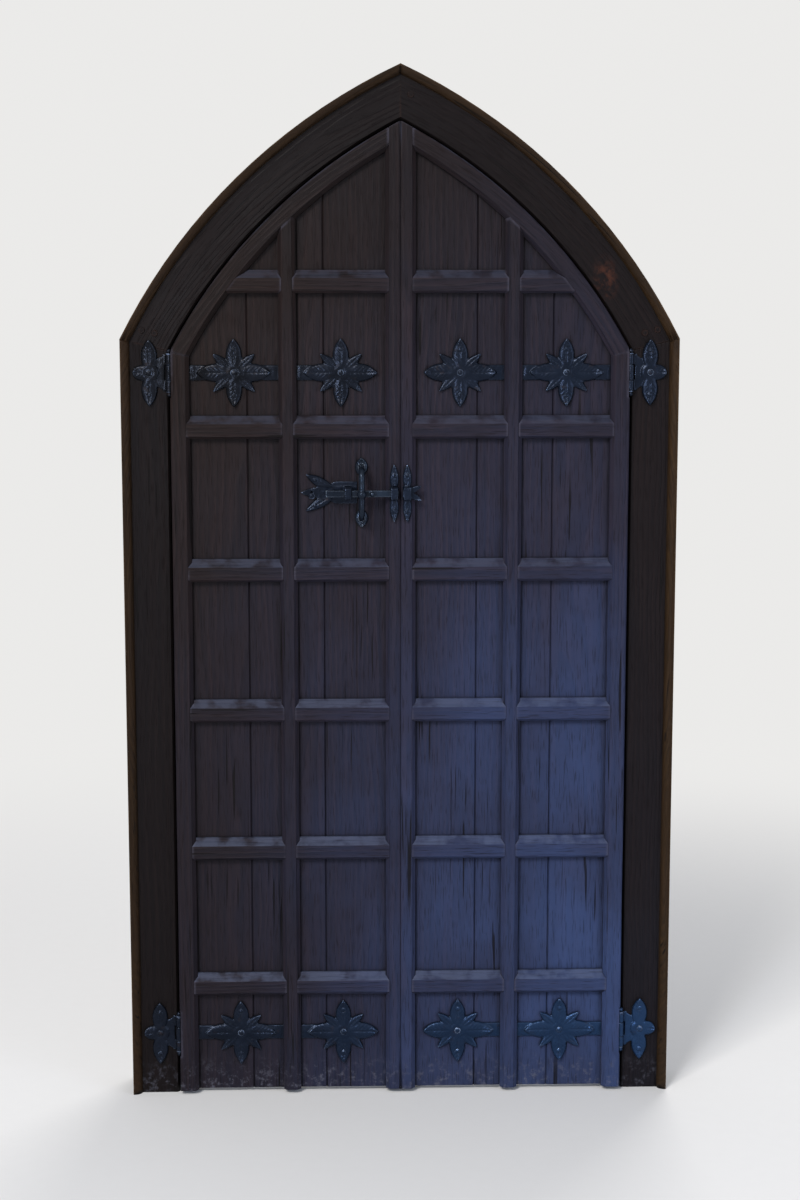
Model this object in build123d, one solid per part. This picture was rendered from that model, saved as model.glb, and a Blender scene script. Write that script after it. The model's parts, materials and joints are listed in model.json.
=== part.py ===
from build123d import *
import os
from math import cos, radians, sin, sqrt

# A pair of pointed oak leaves in their own oak frame, in millimetres, drawn closed.
# The origin is on the floor, on the centre line, where the backs of the boards lie.
# +X is to the right as one faces the ironwork, +Z is up and +Y runs through the doorway.

# Driving sizes of the leaves and the arch
LEAF_WIDTH = 455.0
LEAF_HEIGHT = 1981.0
BOARD_THICKNESS = 30.0
BOARDS_PER_LEAF = 3
ARCH_RADIUS = 1075.0
ARCH_SETBACK = 488.0
LEAF_GAP = 3.0
MEETING_GAP = 3.0
FLOOR_GAP = 8.0

# Frame timbers
JAMB_FACE = 95.0
JAMB_DEPTH = 100.0
STOP_WIDTH = 14.0
STOP_GAP = 1.0
FRAME_ARRIS = 4.0
BACK_CHAMFER = 10.0
BEAD_WIDTH = 18.0
BEAD_DEPTH = 14.0
TENON_WIDTH = 48.0
TENON_THICKNESS = 26.0
TENON_LENGTH = 55.0
APEX_TENON_WIDTH = 34.0
APEX_TENON_LENGTH = 40.0
TENON_FIT = 0.2
PEG_RADIUS = 6.0
PEG_LENGTH = 74.0
PEG_STANDS_OUT = 2.5
PEG_FIT = 0.1
PEG_SPACING = 26.0

# Screw holes through the jambs into the wall, in two pairs on each side
FIXING_HOLE_RADIUS = 4.5
FIXING_SPACING = 450.0
LOWEST_FIXING_HEIGHT = 200.0
FIXING_BELOW_SPRINGING = 195.0
FIXING_DEPTH_IN_JAMB = 48.0

# Boards and their tongues
TONGUE_THICKNESS = 8.0
TONGUE_LENGTH = 8.0
TONGUE_FIT = 0.3
V_JOINT = 2.5

# Planted ribs on the face
RIB_PROUD = 18.0
OUTER_STILE_WIDTH = 38.0
MEETING_STILE_WIDTH = 29.0
MUNTIN_WIDTH = 36.0
RIM_WIDTH = 38.0
RIB_CHAMFER = 8.0
RIB_ARRIS = 2.5
RAIL_HEIGHT = 46.0
RAIL_TOP_CHAMFER = 16.0
RAIL_TOP_CHAMFER_DEPTH = 12.0
RAIL_FOOT_CHAMFER = 5.0
RAILS_PER_LEAF = 6
LOWER_CROSS_TO_RAIL = 15.0
UPPER_CROSS_TO_RAIL_BELOW = 17.0
UPPER_CROSS_TO_TOP_RAIL = 88.0

# Ledges across the back
LEDGE_HEIGHT = 110.0
LEDGE_THICKNESS = 28.0
LEDGE_CHAMFER = 8.0
LOWEST_LEDGE_HEIGHT = 335.0
MIDDLE_LEDGE_BELOW_PULL = 82.0
TOP_LEDGE_BELOW_BOLT = 70.0
LEDGE_END_GAP = 9.0
LEDGE_MEETING_GAP = 16.0

# Strap hinges
IRON_THICKNESS = 4.0
STRAP_WIDTH = 30.0
HOUSING_FIT = 0.4
LOWER_HINGE_HEIGHT = 130.0
HINGE_BELOW_SPRINGING = 43.0
PIN_RADIUS = 3.5
PIN_FIT = 0.05
KNUCKLE_RADIUS = 7.0
KNUCKLE_STANDOFF = 9.0
END_KNUCKLE = 21.0
KNUCKLE_GAP = 0.5
KNUCKLE_ROOM = 2.0
WRAP_LAP = 4.0
PIN_COLLAR_RADIUS = 6.0
PIN_COLLAR_HEIGHT = 2.0
PIN_BALL_RADIUS = 5.0

# Foliate ends, all cut from the same leaf shape
BOSS_RADIUS = 19.0
LEAF_LOBE_LENGTH = 68.0
LEAF_LOBE_WIDTH = 32.0
SIDE_LOBE_LENGTH = 56.0
SIDE_LOBE_WIDTH = 19.0
SIDE_LOBE_ANGLE = 42.0
ARM_LOBE_LENGTH = 73.0
ARM_LOBE_WIDTH = 36.0
JAMB_LOBE_LENGTH = 66.0
JAMB_SIDE_LOBE_LENGTH = 33.0

# Wrought nails
NAIL_HEAD = 13.0
NAIL_HEAD_HEIGHT = 4.0
NAIL_HEAD_TAPER = 48.0
NAIL_SHANK = 4.0
NAIL_LENGTH = 20.0
NAIL_FIT = 0.1
NAIL_FROM_TIP = 22.0

# Sliding latch across the meeting edges, a little above the middle of its row of panels
LATCH_ABOVE_MIDDLE = 12.5
LATCH_TRAVEL = 30.0
LATCH_BAR_HEIGHT = 14.0
LATCH_BAR_THICKNESS = 8.0
LATCH_BAR_LENGTH = 146.0
LATCH_TIP_ROUND = 4.5
LATCH_REST_GAP = 4.0
LATCH_STANDOFF = 2.0
LATCH_FIT = 0.08
KEEPER_FIT = 1.5
LOOP_THICKNESS = 5.0
LOOP_WIDTH = 14.0
LOOP_ROUND = 4.0
FIRST_LOOP_OFFSET = 105.0
SECOND_LOOP_OFFSET = 13.0
LATCH_KNOB_OFFSET = 57.0
LATCH_KNOB_RADIUS = 6.0
LATCH_KNOB_REACH = 13.0
LATCH_NECK_RADIUS = 3.0
LATCH_PRONG_LENGTH = 74.0
LATCH_PRONG_WIDTH = 21.0
LATCH_PRONG_ANGLE = 30.0
LATCH_PRONG_TO_MUNTIN = 6.5
LATCH_PLATE_HEIGHT = 44.0
LATCH_PLATE_MARGIN = 18.0
STILE_LOBE_LENGTH = 58.0
STILE_LOBE_WIDTH = 18.0
FISHTAIL_LENGTH = 32.0
FISHTAIL_WIDTH = 11.0
FISHTAIL_ANGLE = 27.0

# Bow pulls, one on each side of the active leaf
PULL_RADIUS = 6.0
PULL_KNOP_RADIUS = 9.5
PULL_BEND = 20.0
PULL_FOOT_INSET = 12.0
PULL_FOOT_LENGTH = 38.0
PULL_FOOT_WIDTH = 26.0
FACE_PULL_OFFSET = 78.0
FACE_PULL_LENGTH = 140.0
FACE_PULL_REACH = 44.0
BACK_PULL_OFFSET = 70.0
BACK_PULL_BELOW_LATCH = 73.0
BACK_PULL_LENGTH = 150.0
BACK_PULL_REACH = 40.0

# Bolts on the back of the passive leaf
BOLT_OFFSET = 48.0
BOLT_RADIUS = 6.0
BOLT_LENGTH = 210.0
BOLT_FIT = 0.08
BOLT_TRAVEL = 22.0
BOLT_TIP_GAP = 4.0
BOLT_TIP_CHAMFER = 1.5
BOLT_SOCKET_FIT = 1.0
BARREL_RADIUS = 10.0
BARREL_HEIGHT = 22.0
BARREL_SPACING = 120.0
BARREL_SETBACK = 12.0
BOLT_PLATE_WIDTH = 34.0
BOLT_PLATE_MARGIN = 4.0
BOLT_PLATE_THICKNESS = 3.0
BOLT_STEM_RADIUS = 3.5
BOLT_KNOB_RADIUS = 8.0
BOLT_KNOB_REACH = 26.0

# Sizes worked out from those above
HALF_OPENING = LEAF_WIDTH + MEETING_GAP / 2 + LEAF_GAP
FACE = -BOARD_THICKNESS
BACK = JAMB_DEPTH - BOARD_THICKNESS
RIB_FACE = FACE - RIB_PROUD
INNER_EDGE = MEETING_GAP / 2
OUTER_EDGE = INNER_EDGE + LEAF_WIDTH
LEAF_RADIUS = ARCH_RADIUS - LEAF_GAP
ARCH_CENTRE_Z = LEAF_HEIGHT - sqrt(LEAF_RADIUS**2 - (ARCH_SETBACK + INNER_EDGE) ** 2)
FRAME_TOP = ARCH_CENTRE_Z + ARCH_RADIUS + JAMB_FACE
ABOVE_ALL = 2 * FRAME_TOP
PIN_X = HALF_OPENING - LEAF_GAP / 2
PIN_Y = FACE - KNUCKLE_STANDOFF
IRON_FACE = FACE - IRON_THICKNESS
RIB_IRON_FACE = RIB_FACE - IRON_THICKNESS
BOLT_Y = BOLT_PLATE_THICKNESS + BARREL_RADIUS
ARCH_AXIS = Axis((-ARCH_SETBACK, 0, ARCH_CENTRE_Z), (0, -1, 0))
SPRINGING_HEIGHT = ARCH_CENTRE_Z + sqrt(ARCH_RADIUS**2 - (HALF_OPENING + ARCH_SETBACK) ** 2)
HINGE_HEIGHTS = {"lower": LOWER_HINGE_HEIGHT, "upper": SPRINGING_HEIGHT - HINGE_BELOW_SPRINGING}
PANELS_START = INNER_EDGE + MEETING_STILE_WIDTH
PANELS_END = OUTER_EDGE - OUTER_STILE_WIDTH
MUNTIN_CENTRE = (PANELS_START + PANELS_END) / 2
LATCH_PRONG_OFFSET = MUNTIN_CENTRE - MUNTIN_WIDTH / 2 - LATCH_PRONG_TO_MUNTIN - LATCH_PRONG_LENGTH
PANEL_CENTRES = (
    (PANELS_START + MUNTIN_CENTRE - MUNTIN_WIDTH / 2) / 2,
    (MUNTIN_CENTRE + MUNTIN_WIDTH / 2 + PANELS_END) / 2,
)


# Heights of what is spaced up the leaves
def rail_heights():
    """Rails: one above the upper hinge, the others evenly spaced between the two hinges."""
    cross_to_rail = LEAF_LOBE_LENGTH + RAIL_HEIGHT / 2
    low = HINGE_HEIGHTS["lower"] + cross_to_rail + LOWER_CROSS_TO_RAIL
    high = HINGE_HEIGHTS["upper"] - cross_to_rail - UPPER_CROSS_TO_RAIL_BELOW
    steps = RAILS_PER_LEAF - 2
    evenly = [low + n * (high - low) / steps for n in range(steps + 1)]
    return evenly + [HINGE_HEIGHTS["upper"] + cross_to_rail + UPPER_CROSS_TO_TOP_RAIL]


def fixing_heights():
    """Screw holes: a pair above the floor and a pair under the springing."""
    high = SPRINGING_HEIGHT - FIXING_BELOW_SPRINGING
    return (
        LOWEST_FIXING_HEIGHT,
        LOWEST_FIXING_HEIGHT + FIXING_SPACING,
        high - FIXING_SPACING,
        high,
    )


LATCH_HEIGHT = sum(rail_heights()[-3:-1]) / 2 + LATCH_ABOVE_MIDDLE
BACK_PULL_HEIGHT = LATCH_HEIGHT - BACK_PULL_BELOW_LATCH


def stop_soffit(x):
    """Height of the underside of the arch stop above a point."""
    return ARCH_CENTRE_Z + sqrt((ARCH_RADIUS - STOP_WIDTH) ** 2 - (x + ARCH_SETBACK) ** 2)


def bolt_tips():
    """Where each bolt ends when it is withdrawn, and which way it shoots."""
    return {
        "top": (stop_soffit(BOLT_OFFSET + BOLT_RADIUS) - BOLT_TIP_GAP, 1),
        "bottom": (FLOOR_GAP + BOLT_TIP_GAP, -1),
    }


def ledge_heights():
    """Ledges: the lowest, one under the back pull and one under the top bolt."""
    under_pull = BACK_PULL_HEIGHT - BACK_PULL_LENGTH / 2 - MIDDLE_LEDGE_BELOW_PULL
    under_bolt = bolt_tips()["top"][0] - BOLT_LENGTH - TOP_LEDGE_BELOW_BOLT
    return LOWEST_LEDGE_HEIGHT, under_pull - LEDGE_HEIGHT / 2, under_bolt - LEDGE_HEIGHT / 2


# Helpers for placing and cutting
def slab(sketch, back, front):
    """A plate of a front-view outline, between two depths."""
    return extrude(Plane.XZ.offset(-back) * sketch, back - front)


def block(low, high):
    """A plain block between two corners."""
    size = [b - a for a, b in zip(low, high)]
    middle = [(a + b) / 2 for a, b in zip(low, high)]
    return Pos(*middle) * Box(*size)


def outline(points):
    """Flat outline through the points, facing up whichever way round they are given."""
    shape = Polygon(*points, align=None)
    return shape if shape.face().normal_at().Z > 0 else Polygon(*reversed(points), align=None)


def mirrored(shape):
    """The same shape on the other side of the centre line."""
    return mirror(shape, about=Plane.YZ)


def kink_height(offset):
    """Where a jamb line meets its arc, at a distance outside the opening line."""
    across = HALF_OPENING + offset + ARCH_SETBACK
    return ARCH_CENTRE_Z + sqrt((ARCH_RADIUS + offset) ** 2 - across**2)


def apex_height():
    """Height of the point of the arch, on the opening line."""
    return ARCH_CENTRE_Z + sqrt(ARCH_RADIUS**2 - ARCH_SETBACK**2)


def springing_plane():
    """The mitre between the uprights and the arch, facing up."""
    rise = kink_height(JAMB_FACE) - SPRINGING_HEIGHT
    along = Vector(JAMB_FACE, 0, rise).normalized()
    up = Vector(-along.Z, 0, along.X)
    return Plane((HALF_OPENING, 0, SPRINGING_HEIGHT), x_dir=along, z_dir=up)


SPRINGING = springing_plane()


def under_arch(radius):
    """All that lies inside an arch of the given radius and below it, from the front."""
    below = Pos(-ARCH_SETBACK, 0) * Rectangle(2 * radius, 2 * ARCH_CENTRE_Z)
    return Pos(-ARCH_SETBACK, ARCH_CENTRE_Z) * Circle(radius) + below


def leaf_outline(radius):
    """One leaf from the front, with its curved top at the given radius."""
    middle = (INNER_EDGE + OUTER_EDGE) / 2
    tall = Pos(middle, (FLOOR_GAP + FRAME_TOP) / 2) * Rectangle(LEAF_WIDTH, FRAME_TOP - FLOOR_GAP)
    return tall & under_arch(radius)


def upright(section):
    """A moulding section run up to the springing mitre."""
    return split(extrude(section, FRAME_TOP), bisect_by=SPRINGING, keep=Keep.BOTTOM)


def arched(section):
    """The same section swept round the arch, from the mitre to the centre line."""
    placed = Pos(ARCH_RADIUS - ARCH_SETBACK - HALF_OPENING, 0, ARCH_CENTRE_Z) * section
    ring = revolve(placed, axis=ARCH_AXIS, revolution_arc=90)
    ring = split(ring, bisect_by=SPRINGING, keep=Keep.TOP)
    return split(ring, bisect_by=Plane.YZ, keep=Keep.TOP)


# Frame
def frame_section():
    """Jamb section from above: face, rebate for the leaf and the stop behind it."""
    inner, outer, stop = HALF_OPENING, HALF_OPENING + JAMB_FACE, HALF_OPENING - STOP_WIDTH
    return outline(
        [
            (inner + FRAME_ARRIS, FACE),
            (outer, FACE),
            (outer, BACK),
            (stop + BACK_CHAMFER, BACK),
            (stop, BACK - BACK_CHAMFER),
            (stop, STOP_GAP),
            (inner, STOP_GAP),
            (inner, FACE + FRAME_ARRIS),
        ]
    )


def bead_section():
    """Quarter round planted along the outer edge of the face."""
    outer = HALF_OPENING + JAMB_FACE
    strip = Pos(outer - BEAD_WIDTH / 2, FACE - BEAD_DEPTH / 2) * Rectangle(BEAD_WIDTH, BEAD_DEPTH)
    round_face = Pos(outer, FACE) * Ellipse(BEAD_WIDTH, BEAD_DEPTH)
    return strip & round_face


def springing_tenon(fit):
    """Tenon from the jamb into the arch, square to the mitre."""
    place = SPRINGING * Pos(JAMB_FACE / 2, (FACE + BACK) / 2)
    return extrude(place * Rectangle(TENON_WIDTH + 2 * fit, TENON_THICKNESS + 2 * fit), TENON_LENGTH + fit)


def apex_tenon(fit):
    """Tenon from the left arch timber into the right one."""
    low = apex_height() + (JAMB_FACE - APEX_TENON_WIDTH) / 2
    middle = (FACE + BACK) / 2
    half = TENON_THICKNESS / 2 + fit
    return block(
        (0, middle - half, low - fit),
        (APEX_TENON_LENGTH + fit, middle + half, low + APEX_TENON_WIDTH + fit),
    )


def peg_at(x, z, radius):
    """Eight-sided riven peg driven from the face."""
    end = FACE - PEG_STANDS_OUT
    return slab(Pos(x, z) * RegularPolygon(radius, 8), end + PEG_LENGTH, end)


def springing_pegs(radius):
    """Two pegs across each springing tenon."""
    row = SPRINGING * Pos(JAMB_FACE / 2, 0, TENON_LENGTH / 2)
    spots = [(row * Pos(side * PEG_SPACING / 2, 0, 0)).position for side in (-1, 1)]
    return [peg_at(p.X, p.Z, radius) for p in spots]


def apex_peg(radius):
    """One peg across the tenon at the point of the arch."""
    return peg_at(APEX_TENON_LENGTH / 2, apex_height() + JAMB_FACE / 2, radius)


def fixing_holes():
    """Screw holes from the rebate out to the wall."""
    hole = Rot(0, 90, 0) * Cylinder(FIXING_HOLE_RADIUS, JAMB_FACE + 2 * STOP_WIDTH)
    x, y = HALF_OPENING + (JAMB_FACE - STOP_WIDTH) / 2, FACE + FIXING_DEPTH_IN_JAMB
    return [Pos(x, y, z) * hole for z in fixing_heights()]


def build_frame():
    section = frame_section()
    jamb = upright(section) + springing_tenon(0) - fixing_holes()
    jamb = jamb - springing_pegs(PEG_RADIUS + PEG_FIT)
    head = arched(section) - springing_tenon(TENON_FIT)
    head = head - springing_pegs(PEG_RADIUS + PEG_FIT)
    right_head = head - apex_tenon(TENON_FIT) - apex_peg(PEG_RADIUS + PEG_FIT) - bolt_socket()
    left_head = mirrored(head) + apex_tenon(0) - apex_peg(PEG_RADIUS + PEG_FIT)
    bead = upright(bead_section()), arched(bead_section())
    pegs = springing_pegs(PEG_RADIUS)
    return {
        "jamb_right": jamb,
        "jamb_left": mirrored(jamb),
        "head_right": right_head,
        "head_left": left_head,
        "bead_right": Compound(children=list(bead)),
        "bead_left": Compound(children=[mirrored(b) for b in bead]),
        "frame_pegs": Compound(children=pegs + [mirrored(p) for p in pegs] + [apex_peg(PEG_RADIUS)]),
    }


# Boards
def board_section(left, right, grooved, tongued):
    """Board seen from above, with a V joint at both front arrises."""
    middle = FACE / 2
    half, fit = TONGUE_THICKNESS / 2, TONGUE_FIT
    points = [(left + V_JOINT, FACE), (left, FACE + V_JOINT)]
    if grooved:
        depth = TONGUE_LENGTH + fit
        points += [(left, middle - half - fit), (left + depth, middle - half - fit)]
        points += [(left + depth, middle + half + fit), (left, middle + half + fit)]
    points += [(left, 0), (right, 0)]
    if tongued:
        points += [(right, middle + half), (right + TONGUE_LENGTH, middle + half)]
        points += [(right + TONGUE_LENGTH, middle - half), (right, middle - half)]
    return outline(points + [(right, FACE + V_JOINT), (right - V_JOINT, FACE)])


def build_boards():
    width = LEAF_WIDTH / BOARDS_PER_LEAF
    shape = slab(leaf_outline(LEAF_RADIUS), 0, FACE)
    boards = []
    for n in range(BOARDS_PER_LEAF):
        left = INNER_EDGE + n * width
        section = board_section(left, left + width, n > 0, n < BOARDS_PER_LEAF - 1)
        boards.append(extrude(section, ABOVE_ALL) & shape)
    return boards


# Ribs
def rib_section(left, right, left_chamfer, right_chamfer):
    """Rib seen from above, chamfered along both sides."""
    return outline(
        [
            (left, FACE),
            (left, RIB_FACE + left_chamfer),
            (left + left_chamfer, RIB_FACE),
            (right - right_chamfer, RIB_FACE),
            (right, RIB_FACE + right_chamfer),
            (right, FACE),
        ]
    )


def rail(height):
    """Rail with a broad weathered top, long enough to be scribed over both stiles."""
    low, high = height - RAIL_HEIGHT / 2, height + RAIL_HEIGHT / 2
    section = outline(
        [
            (FACE, low),
            (RIB_FACE + RAIL_FOOT_CHAMFER, low),
            (RIB_FACE, low + RAIL_FOOT_CHAMFER),
            (RIB_FACE, high - RAIL_TOP_CHAMFER),
            (RIB_FACE + RAIL_TOP_CHAMFER_DEPTH, high),
            (FACE, high),
        ]
    )
    start, end = PANELS_START - RIB_CHAMFER, PANELS_END + RIB_CHAMFER
    return extrude(Plane.YZ.offset(start) * section, end - start)


def strap_housing(height):
    """Recess under the ribs for a strap."""
    half = STRAP_WIDTH / 2 + HOUSING_FIT
    return block(
        (PANEL_CENTRES[0], IRON_FACE - HOUSING_FIT, height - half),
        (HALF_OPENING, FACE, height + half),
    )


def knuckle_room(height):
    """Space cut from a rib round the hinge knuckles."""
    tall = 2 * (pin_end() + KNUCKLE_ROOM)
    return Pos(PIN_X, PIN_Y, height) * Cylinder(KNUCKLE_RADIUS + KNUCKLE_ROOM, tall)


def build_ribs():
    scribe_radius = LEAF_RADIUS - RIM_WIDTH + RIB_CHAMFER
    shape = slab(leaf_outline(LEAF_RADIUS), FACE, RIB_FACE)
    inside_rim = slab(leaf_outline(scribe_radius), FACE, RIB_FACE)

    meeting = rib_section(INNER_EDGE, PANELS_START, RIB_ARRIS, RIB_CHAMFER)
    meeting = extrude(meeting, ABOVE_ALL) & shape
    outer = upright(rib_section(PANELS_END, OUTER_EDGE, RIB_CHAMFER, RIB_ARRIS)) & shape
    rim = arched(rib_section(OUTER_EDGE - RIM_WIDTH, OUTER_EDGE, RIB_CHAMFER, RIB_ARRIS))
    rim = rim & block((PANELS_START - RIB_CHAMFER, RIB_FACE, 0), (HALF_OPENING, FACE, ABOVE_ALL))
    rim = rim - meeting
    half = MUNTIN_WIDTH / 2
    muntin = rib_section(MUNTIN_CENTRE - half, MUNTIN_CENTRE + half, RIB_CHAMFER, RIB_CHAMFER)
    muntin = (extrude(muntin, ABOVE_ALL) & inside_rim) - rim

    halving = block((0, RIB_FACE, 0), (HALF_OPENING, FACE - RIB_PROUD / 2, ABOVE_ALL))
    muntin_front = muntin & halving
    rails = []
    for height in rail_heights():
        piece = rail(height) & inside_rim
        piece = piece - meeting - outer - rim - muntin_front
        rails.append(piece)
        muntin = muntin - piece
    for height in HINGE_HEIGHTS.values():
        outer = outer - strap_housing(height) - knuckle_room(height)
        muntin = muntin - strap_housing(height)
        rim = rim - knuckle_room(height)
    return {"stile_meeting": meeting, "stile_outer": outer, "muntin": muntin, "rim": rim}, rails


# Ledges
def build_ledges():
    """Three chamfered ledges across the back of a leaf."""
    start = INNER_EDGE + LEDGE_MEETING_GAP
    ledges = []
    for height in ledge_heights():
        low, high = height - LEDGE_HEIGHT / 2, height + LEDGE_HEIGHT / 2
        section = outline(
            [
                (0, low),
                (LEDGE_THICKNESS - LEDGE_CHAMFER, low),
                (LEDGE_THICKNESS, low + LEDGE_CHAMFER),
                (LEDGE_THICKNESS, high - LEDGE_CHAMFER),
                (LEDGE_THICKNESS - LEDGE_CHAMFER, high),
                (0, high),
            ]
        )
        ledge = extrude(Plane.YZ.offset(start) * section, HALF_OPENING - start)
        room = HALF_OPENING - STOP_WIDTH - LEDGE_END_GAP
        inside = under_arch(ARCH_RADIUS - STOP_WIDTH - LEDGE_END_GAP)
        inside &= Pos(room / 2, FRAME_TOP / 2) * Rectangle(room, FRAME_TOP)
        ledges.append(ledge & slab(inside, LEDGE_THICKNESS, 0))
    return ledges


# Ironwork outlines
def lobe(length, width, angle=0.0, base=0.0):
    """Pointed leaf shape from a base point, lying along an angle from +X."""
    radius = (length**2 + width**2) / (4 * width)
    sag = radius - width / 2
    shape = Pos(0, sag) * Circle(radius) & Pos(0, -sag) * Circle(radius)
    return Rot(0, 0, angle) * Pos(base + length / 2, 0) * shape


def foliate_cross():
    """Boss with a leaf above and below, one along each arm and four between."""
    shape = Circle(BOSS_RADIUS)
    for angle in (90, -90):
        shape += lobe(LEAF_LOBE_LENGTH, LEAF_LOBE_WIDTH, angle)
    for angle in (0, 180):
        shape += lobe(ARM_LOBE_LENGTH, ARM_LOBE_WIDTH, angle)
    for side in (0, 180):
        for tilt in (SIDE_LOBE_ANGLE, -SIDE_LOBE_ANGLE):
            shape += lobe(SIDE_LOBE_LENGTH, SIDE_LOBE_WIDTH, side + tilt)
    return shape


def square_nail(x, z, seat, hole=False):
    """Rose-headed nail with a square shank, or the hole that it fills."""
    size = NAIL_SHANK + (2 * NAIL_FIT if hole else 0)
    shank = slab(Pos(x, z) * Rectangle(size, size), seat + NAIL_LENGTH, seat)
    if hole:
        return shank
    base = Plane.XZ.offset(-seat) * Pos(x, z) * Rectangle(NAIL_HEAD, NAIL_HEAD)
    head = extrude(base, NAIL_HEAD_HEIGHT, taper=NAIL_HEAD_TAPER)
    return shank + head


def knuckle(height, low, high):
    """One knuckle of a hinge round its pin, between two heights from the middle."""
    tube = Cylinder(KNUCKLE_RADIUS, high - low) - Cylinder(PIN_RADIUS + PIN_FIT, high - low)
    return Pos(PIN_X, PIN_Y, height + (low + high) / 2) * tube


def knuckle_wrap(height, low, high, outward):
    """Plate from a strap or jamb plate that turns into its knuckle."""
    side = 1 if outward else -1
    reach = KNUCKLE_RADIUS + KNUCKLE_ROOM + WRAP_LAP
    ends = sorted((PIN_X, PIN_X + side * reach))
    plate = block((ends[0], IRON_FACE, height + low), (ends[1], FACE, height + high))
    return plate - Pos(PIN_X, PIN_Y, height) * Cylinder(PIN_RADIUS + PIN_FIT, 2 * pin_end())


def end_knuckle_spans():
    """Heights of the two fixed knuckles, from the middle of the hinge."""
    near = STRAP_WIDTH / 2 + KNUCKLE_GAP
    return ((-near - END_KNUCKLE, -near), (near, near + END_KNUCKLE))


def pin_end():
    """Height of the tip of the hinge pin, from the middle of the hinge."""
    return end_knuckle_spans()[1][1] + PIN_COLLAR_HEIGHT / 2 + 2 * PIN_BALL_RADIUS


# Hinges
def cross_nails(x, z):
    """A nail in the boss of a foliate cross and one in each upright leaf."""
    return [(x, z + n * (LEAF_LOBE_LENGTH - NAIL_FROM_TIP)) for n in (-1, 0, 1)]


def strap_nails():
    """Where the nails of one leaf's two straps go."""
    return [spot for z in HINGE_HEIGHTS.values() for x in PANEL_CENTRES for spot in cross_nails(x, z)]


def jamb_plate_centre():
    """Middle of the flat of the jamb, between the opening and the bead."""
    return HALF_OPENING + (JAMB_FACE - BEAD_WIDTH) / 2


def jamb_plate_nails():
    """Where the nails of one jamb's two hinge plates go."""
    step = JAMB_LOBE_LENGTH - NAIL_FROM_TIP
    return [(jamb_plate_centre(), z + n * step) for z in HINGE_HEIGHTS.values() for n in (-1, 0, 1)]


def build_strap(height):
    """Strap with a foliate cross in each panel and the middle knuckle of the hinge."""
    start, end = PANEL_CENTRES[0], PIN_X - KNUCKLE_RADIUS - KNUCKLE_ROOM
    shape = Pos((start + end) / 2, 0) * Rectangle(end - start, STRAP_WIDTH)
    for x in PANEL_CENTRES:
        shape += Pos(x, 0) * foliate_cross()
    half = STRAP_WIDTH / 2
    strap = slab(Pos(0, height) * shape, FACE, IRON_FACE)
    strap = strap + knuckle_wrap(height, -half, half, False) + knuckle(height, -half, half)
    return strap - [square_nail(x, z, IRON_FACE, True) for x, z in strap_nails()]


def build_jamb_plate(height):
    """Fixed half of a hinge: two knuckles on a leaf-ended plate."""
    spans = end_knuckle_spans()
    tall = spans[1][1]
    near, middle = PIN_X + KNUCKLE_RADIUS + KNUCKLE_ROOM, jamb_plate_centre()
    shape = outline([(near, -tall), (middle, -STRAP_WIDTH / 2), (middle, STRAP_WIDTH / 2), (near, tall)])
    shape += Pos(middle, 0) * Circle(BOSS_RADIUS)
    shape += Pos(middle, 0) * lobe(JAMB_SIDE_LOBE_LENGTH, STRAP_WIDTH)
    for angle in (90, -90):
        shape += Pos(middle, 0) * lobe(JAMB_LOBE_LENGTH, LEAF_LOBE_WIDTH, angle)
    plate = slab(Pos(0, height) * shape, FACE, IRON_FACE)
    for low, high in spans:
        plate = plate + knuckle_wrap(height, low, high, True) + knuckle(height, low, high)
    return plate - [square_nail(x, z, IRON_FACE, True) for x, z in jamb_plate_nails()]


def build_pin(height):
    """Hinge pin with a turned knob at each end."""
    seat = end_knuckle_spans()[1][1] + PIN_COLLAR_HEIGHT / 2
    pin = Cylinder(PIN_RADIUS, 2 * seat)
    for side in (-1, 1):
        pin = pin + Pos(0, 0, side * seat) * Cylinder(PIN_COLLAR_RADIUS, PIN_COLLAR_HEIGHT)
        pin = pin + Pos(0, 0, side * (seat + PIN_BALL_RADIUS)) * Sphere(PIN_BALL_RADIUS)
    return Pos(PIN_X, PIN_Y, height) * pin


# Latch
def latch_bar_block(rest, fit):
    """The room that the bar fills, with clearance all round, at rest or shot."""
    tip = -LATCH_REST_GAP if rest else LATCH_TRAVEL - LATCH_REST_GAP
    back = RIB_IRON_FACE - LATCH_STANDOFF
    half = LATCH_BAR_HEIGHT / 2 + fit
    return block(
        (tip - LATCH_BAR_LENGTH, back - LATCH_BAR_THICKNESS - fit, LATCH_HEIGHT - half),
        (tip, back + fit, LATCH_HEIGHT + half),
    )


def build_latch_bar():
    """Flat bar with a rounded tip and a small turned knob."""
    bar = latch_bar_block(True, 0)
    tip = bar.edges().filter_by(Axis.Y).group_by(Axis.X)[-1]
    bar = fillet(tip, LATCH_TIP_ROUND)
    front = RIB_IRON_FACE - LATCH_STANDOFF - LATCH_BAR_THICKNESS
    reach = LATCH_KNOB_REACH - LATCH_KNOB_RADIUS
    spot = Plane.XZ.offset(-front) * Pos(-LATCH_KNOB_OFFSET, LATCH_HEIGHT)
    neck = extrude(spot * Circle(LATCH_NECK_RADIUS), reach)
    knob = spot * Pos(0, 0, reach) * Sphere(LATCH_KNOB_RADIUS)
    return bar + neck + knob


def latch_loop(centre, seat, fit):
    """Squared staple that the bar runs through, from its seat outwards."""
    front = RIB_IRON_FACE - LATCH_STANDOFF - LATCH_BAR_THICKNESS - fit - LOOP_THICKNESS
    half = LATCH_BAR_HEIGHT / 2 + fit + LOOP_THICKNESS
    low = (centre - LOOP_WIDTH / 2, front, LATCH_HEIGHT - half)
    loop = block(low, (centre + LOOP_WIDTH / 2, seat, LATCH_HEIGHT + half))
    crown = loop.edges().filter_by(Axis.X).group_by(Axis.Y)[0]
    return fillet(crown, LOOP_ROUND)


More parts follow.
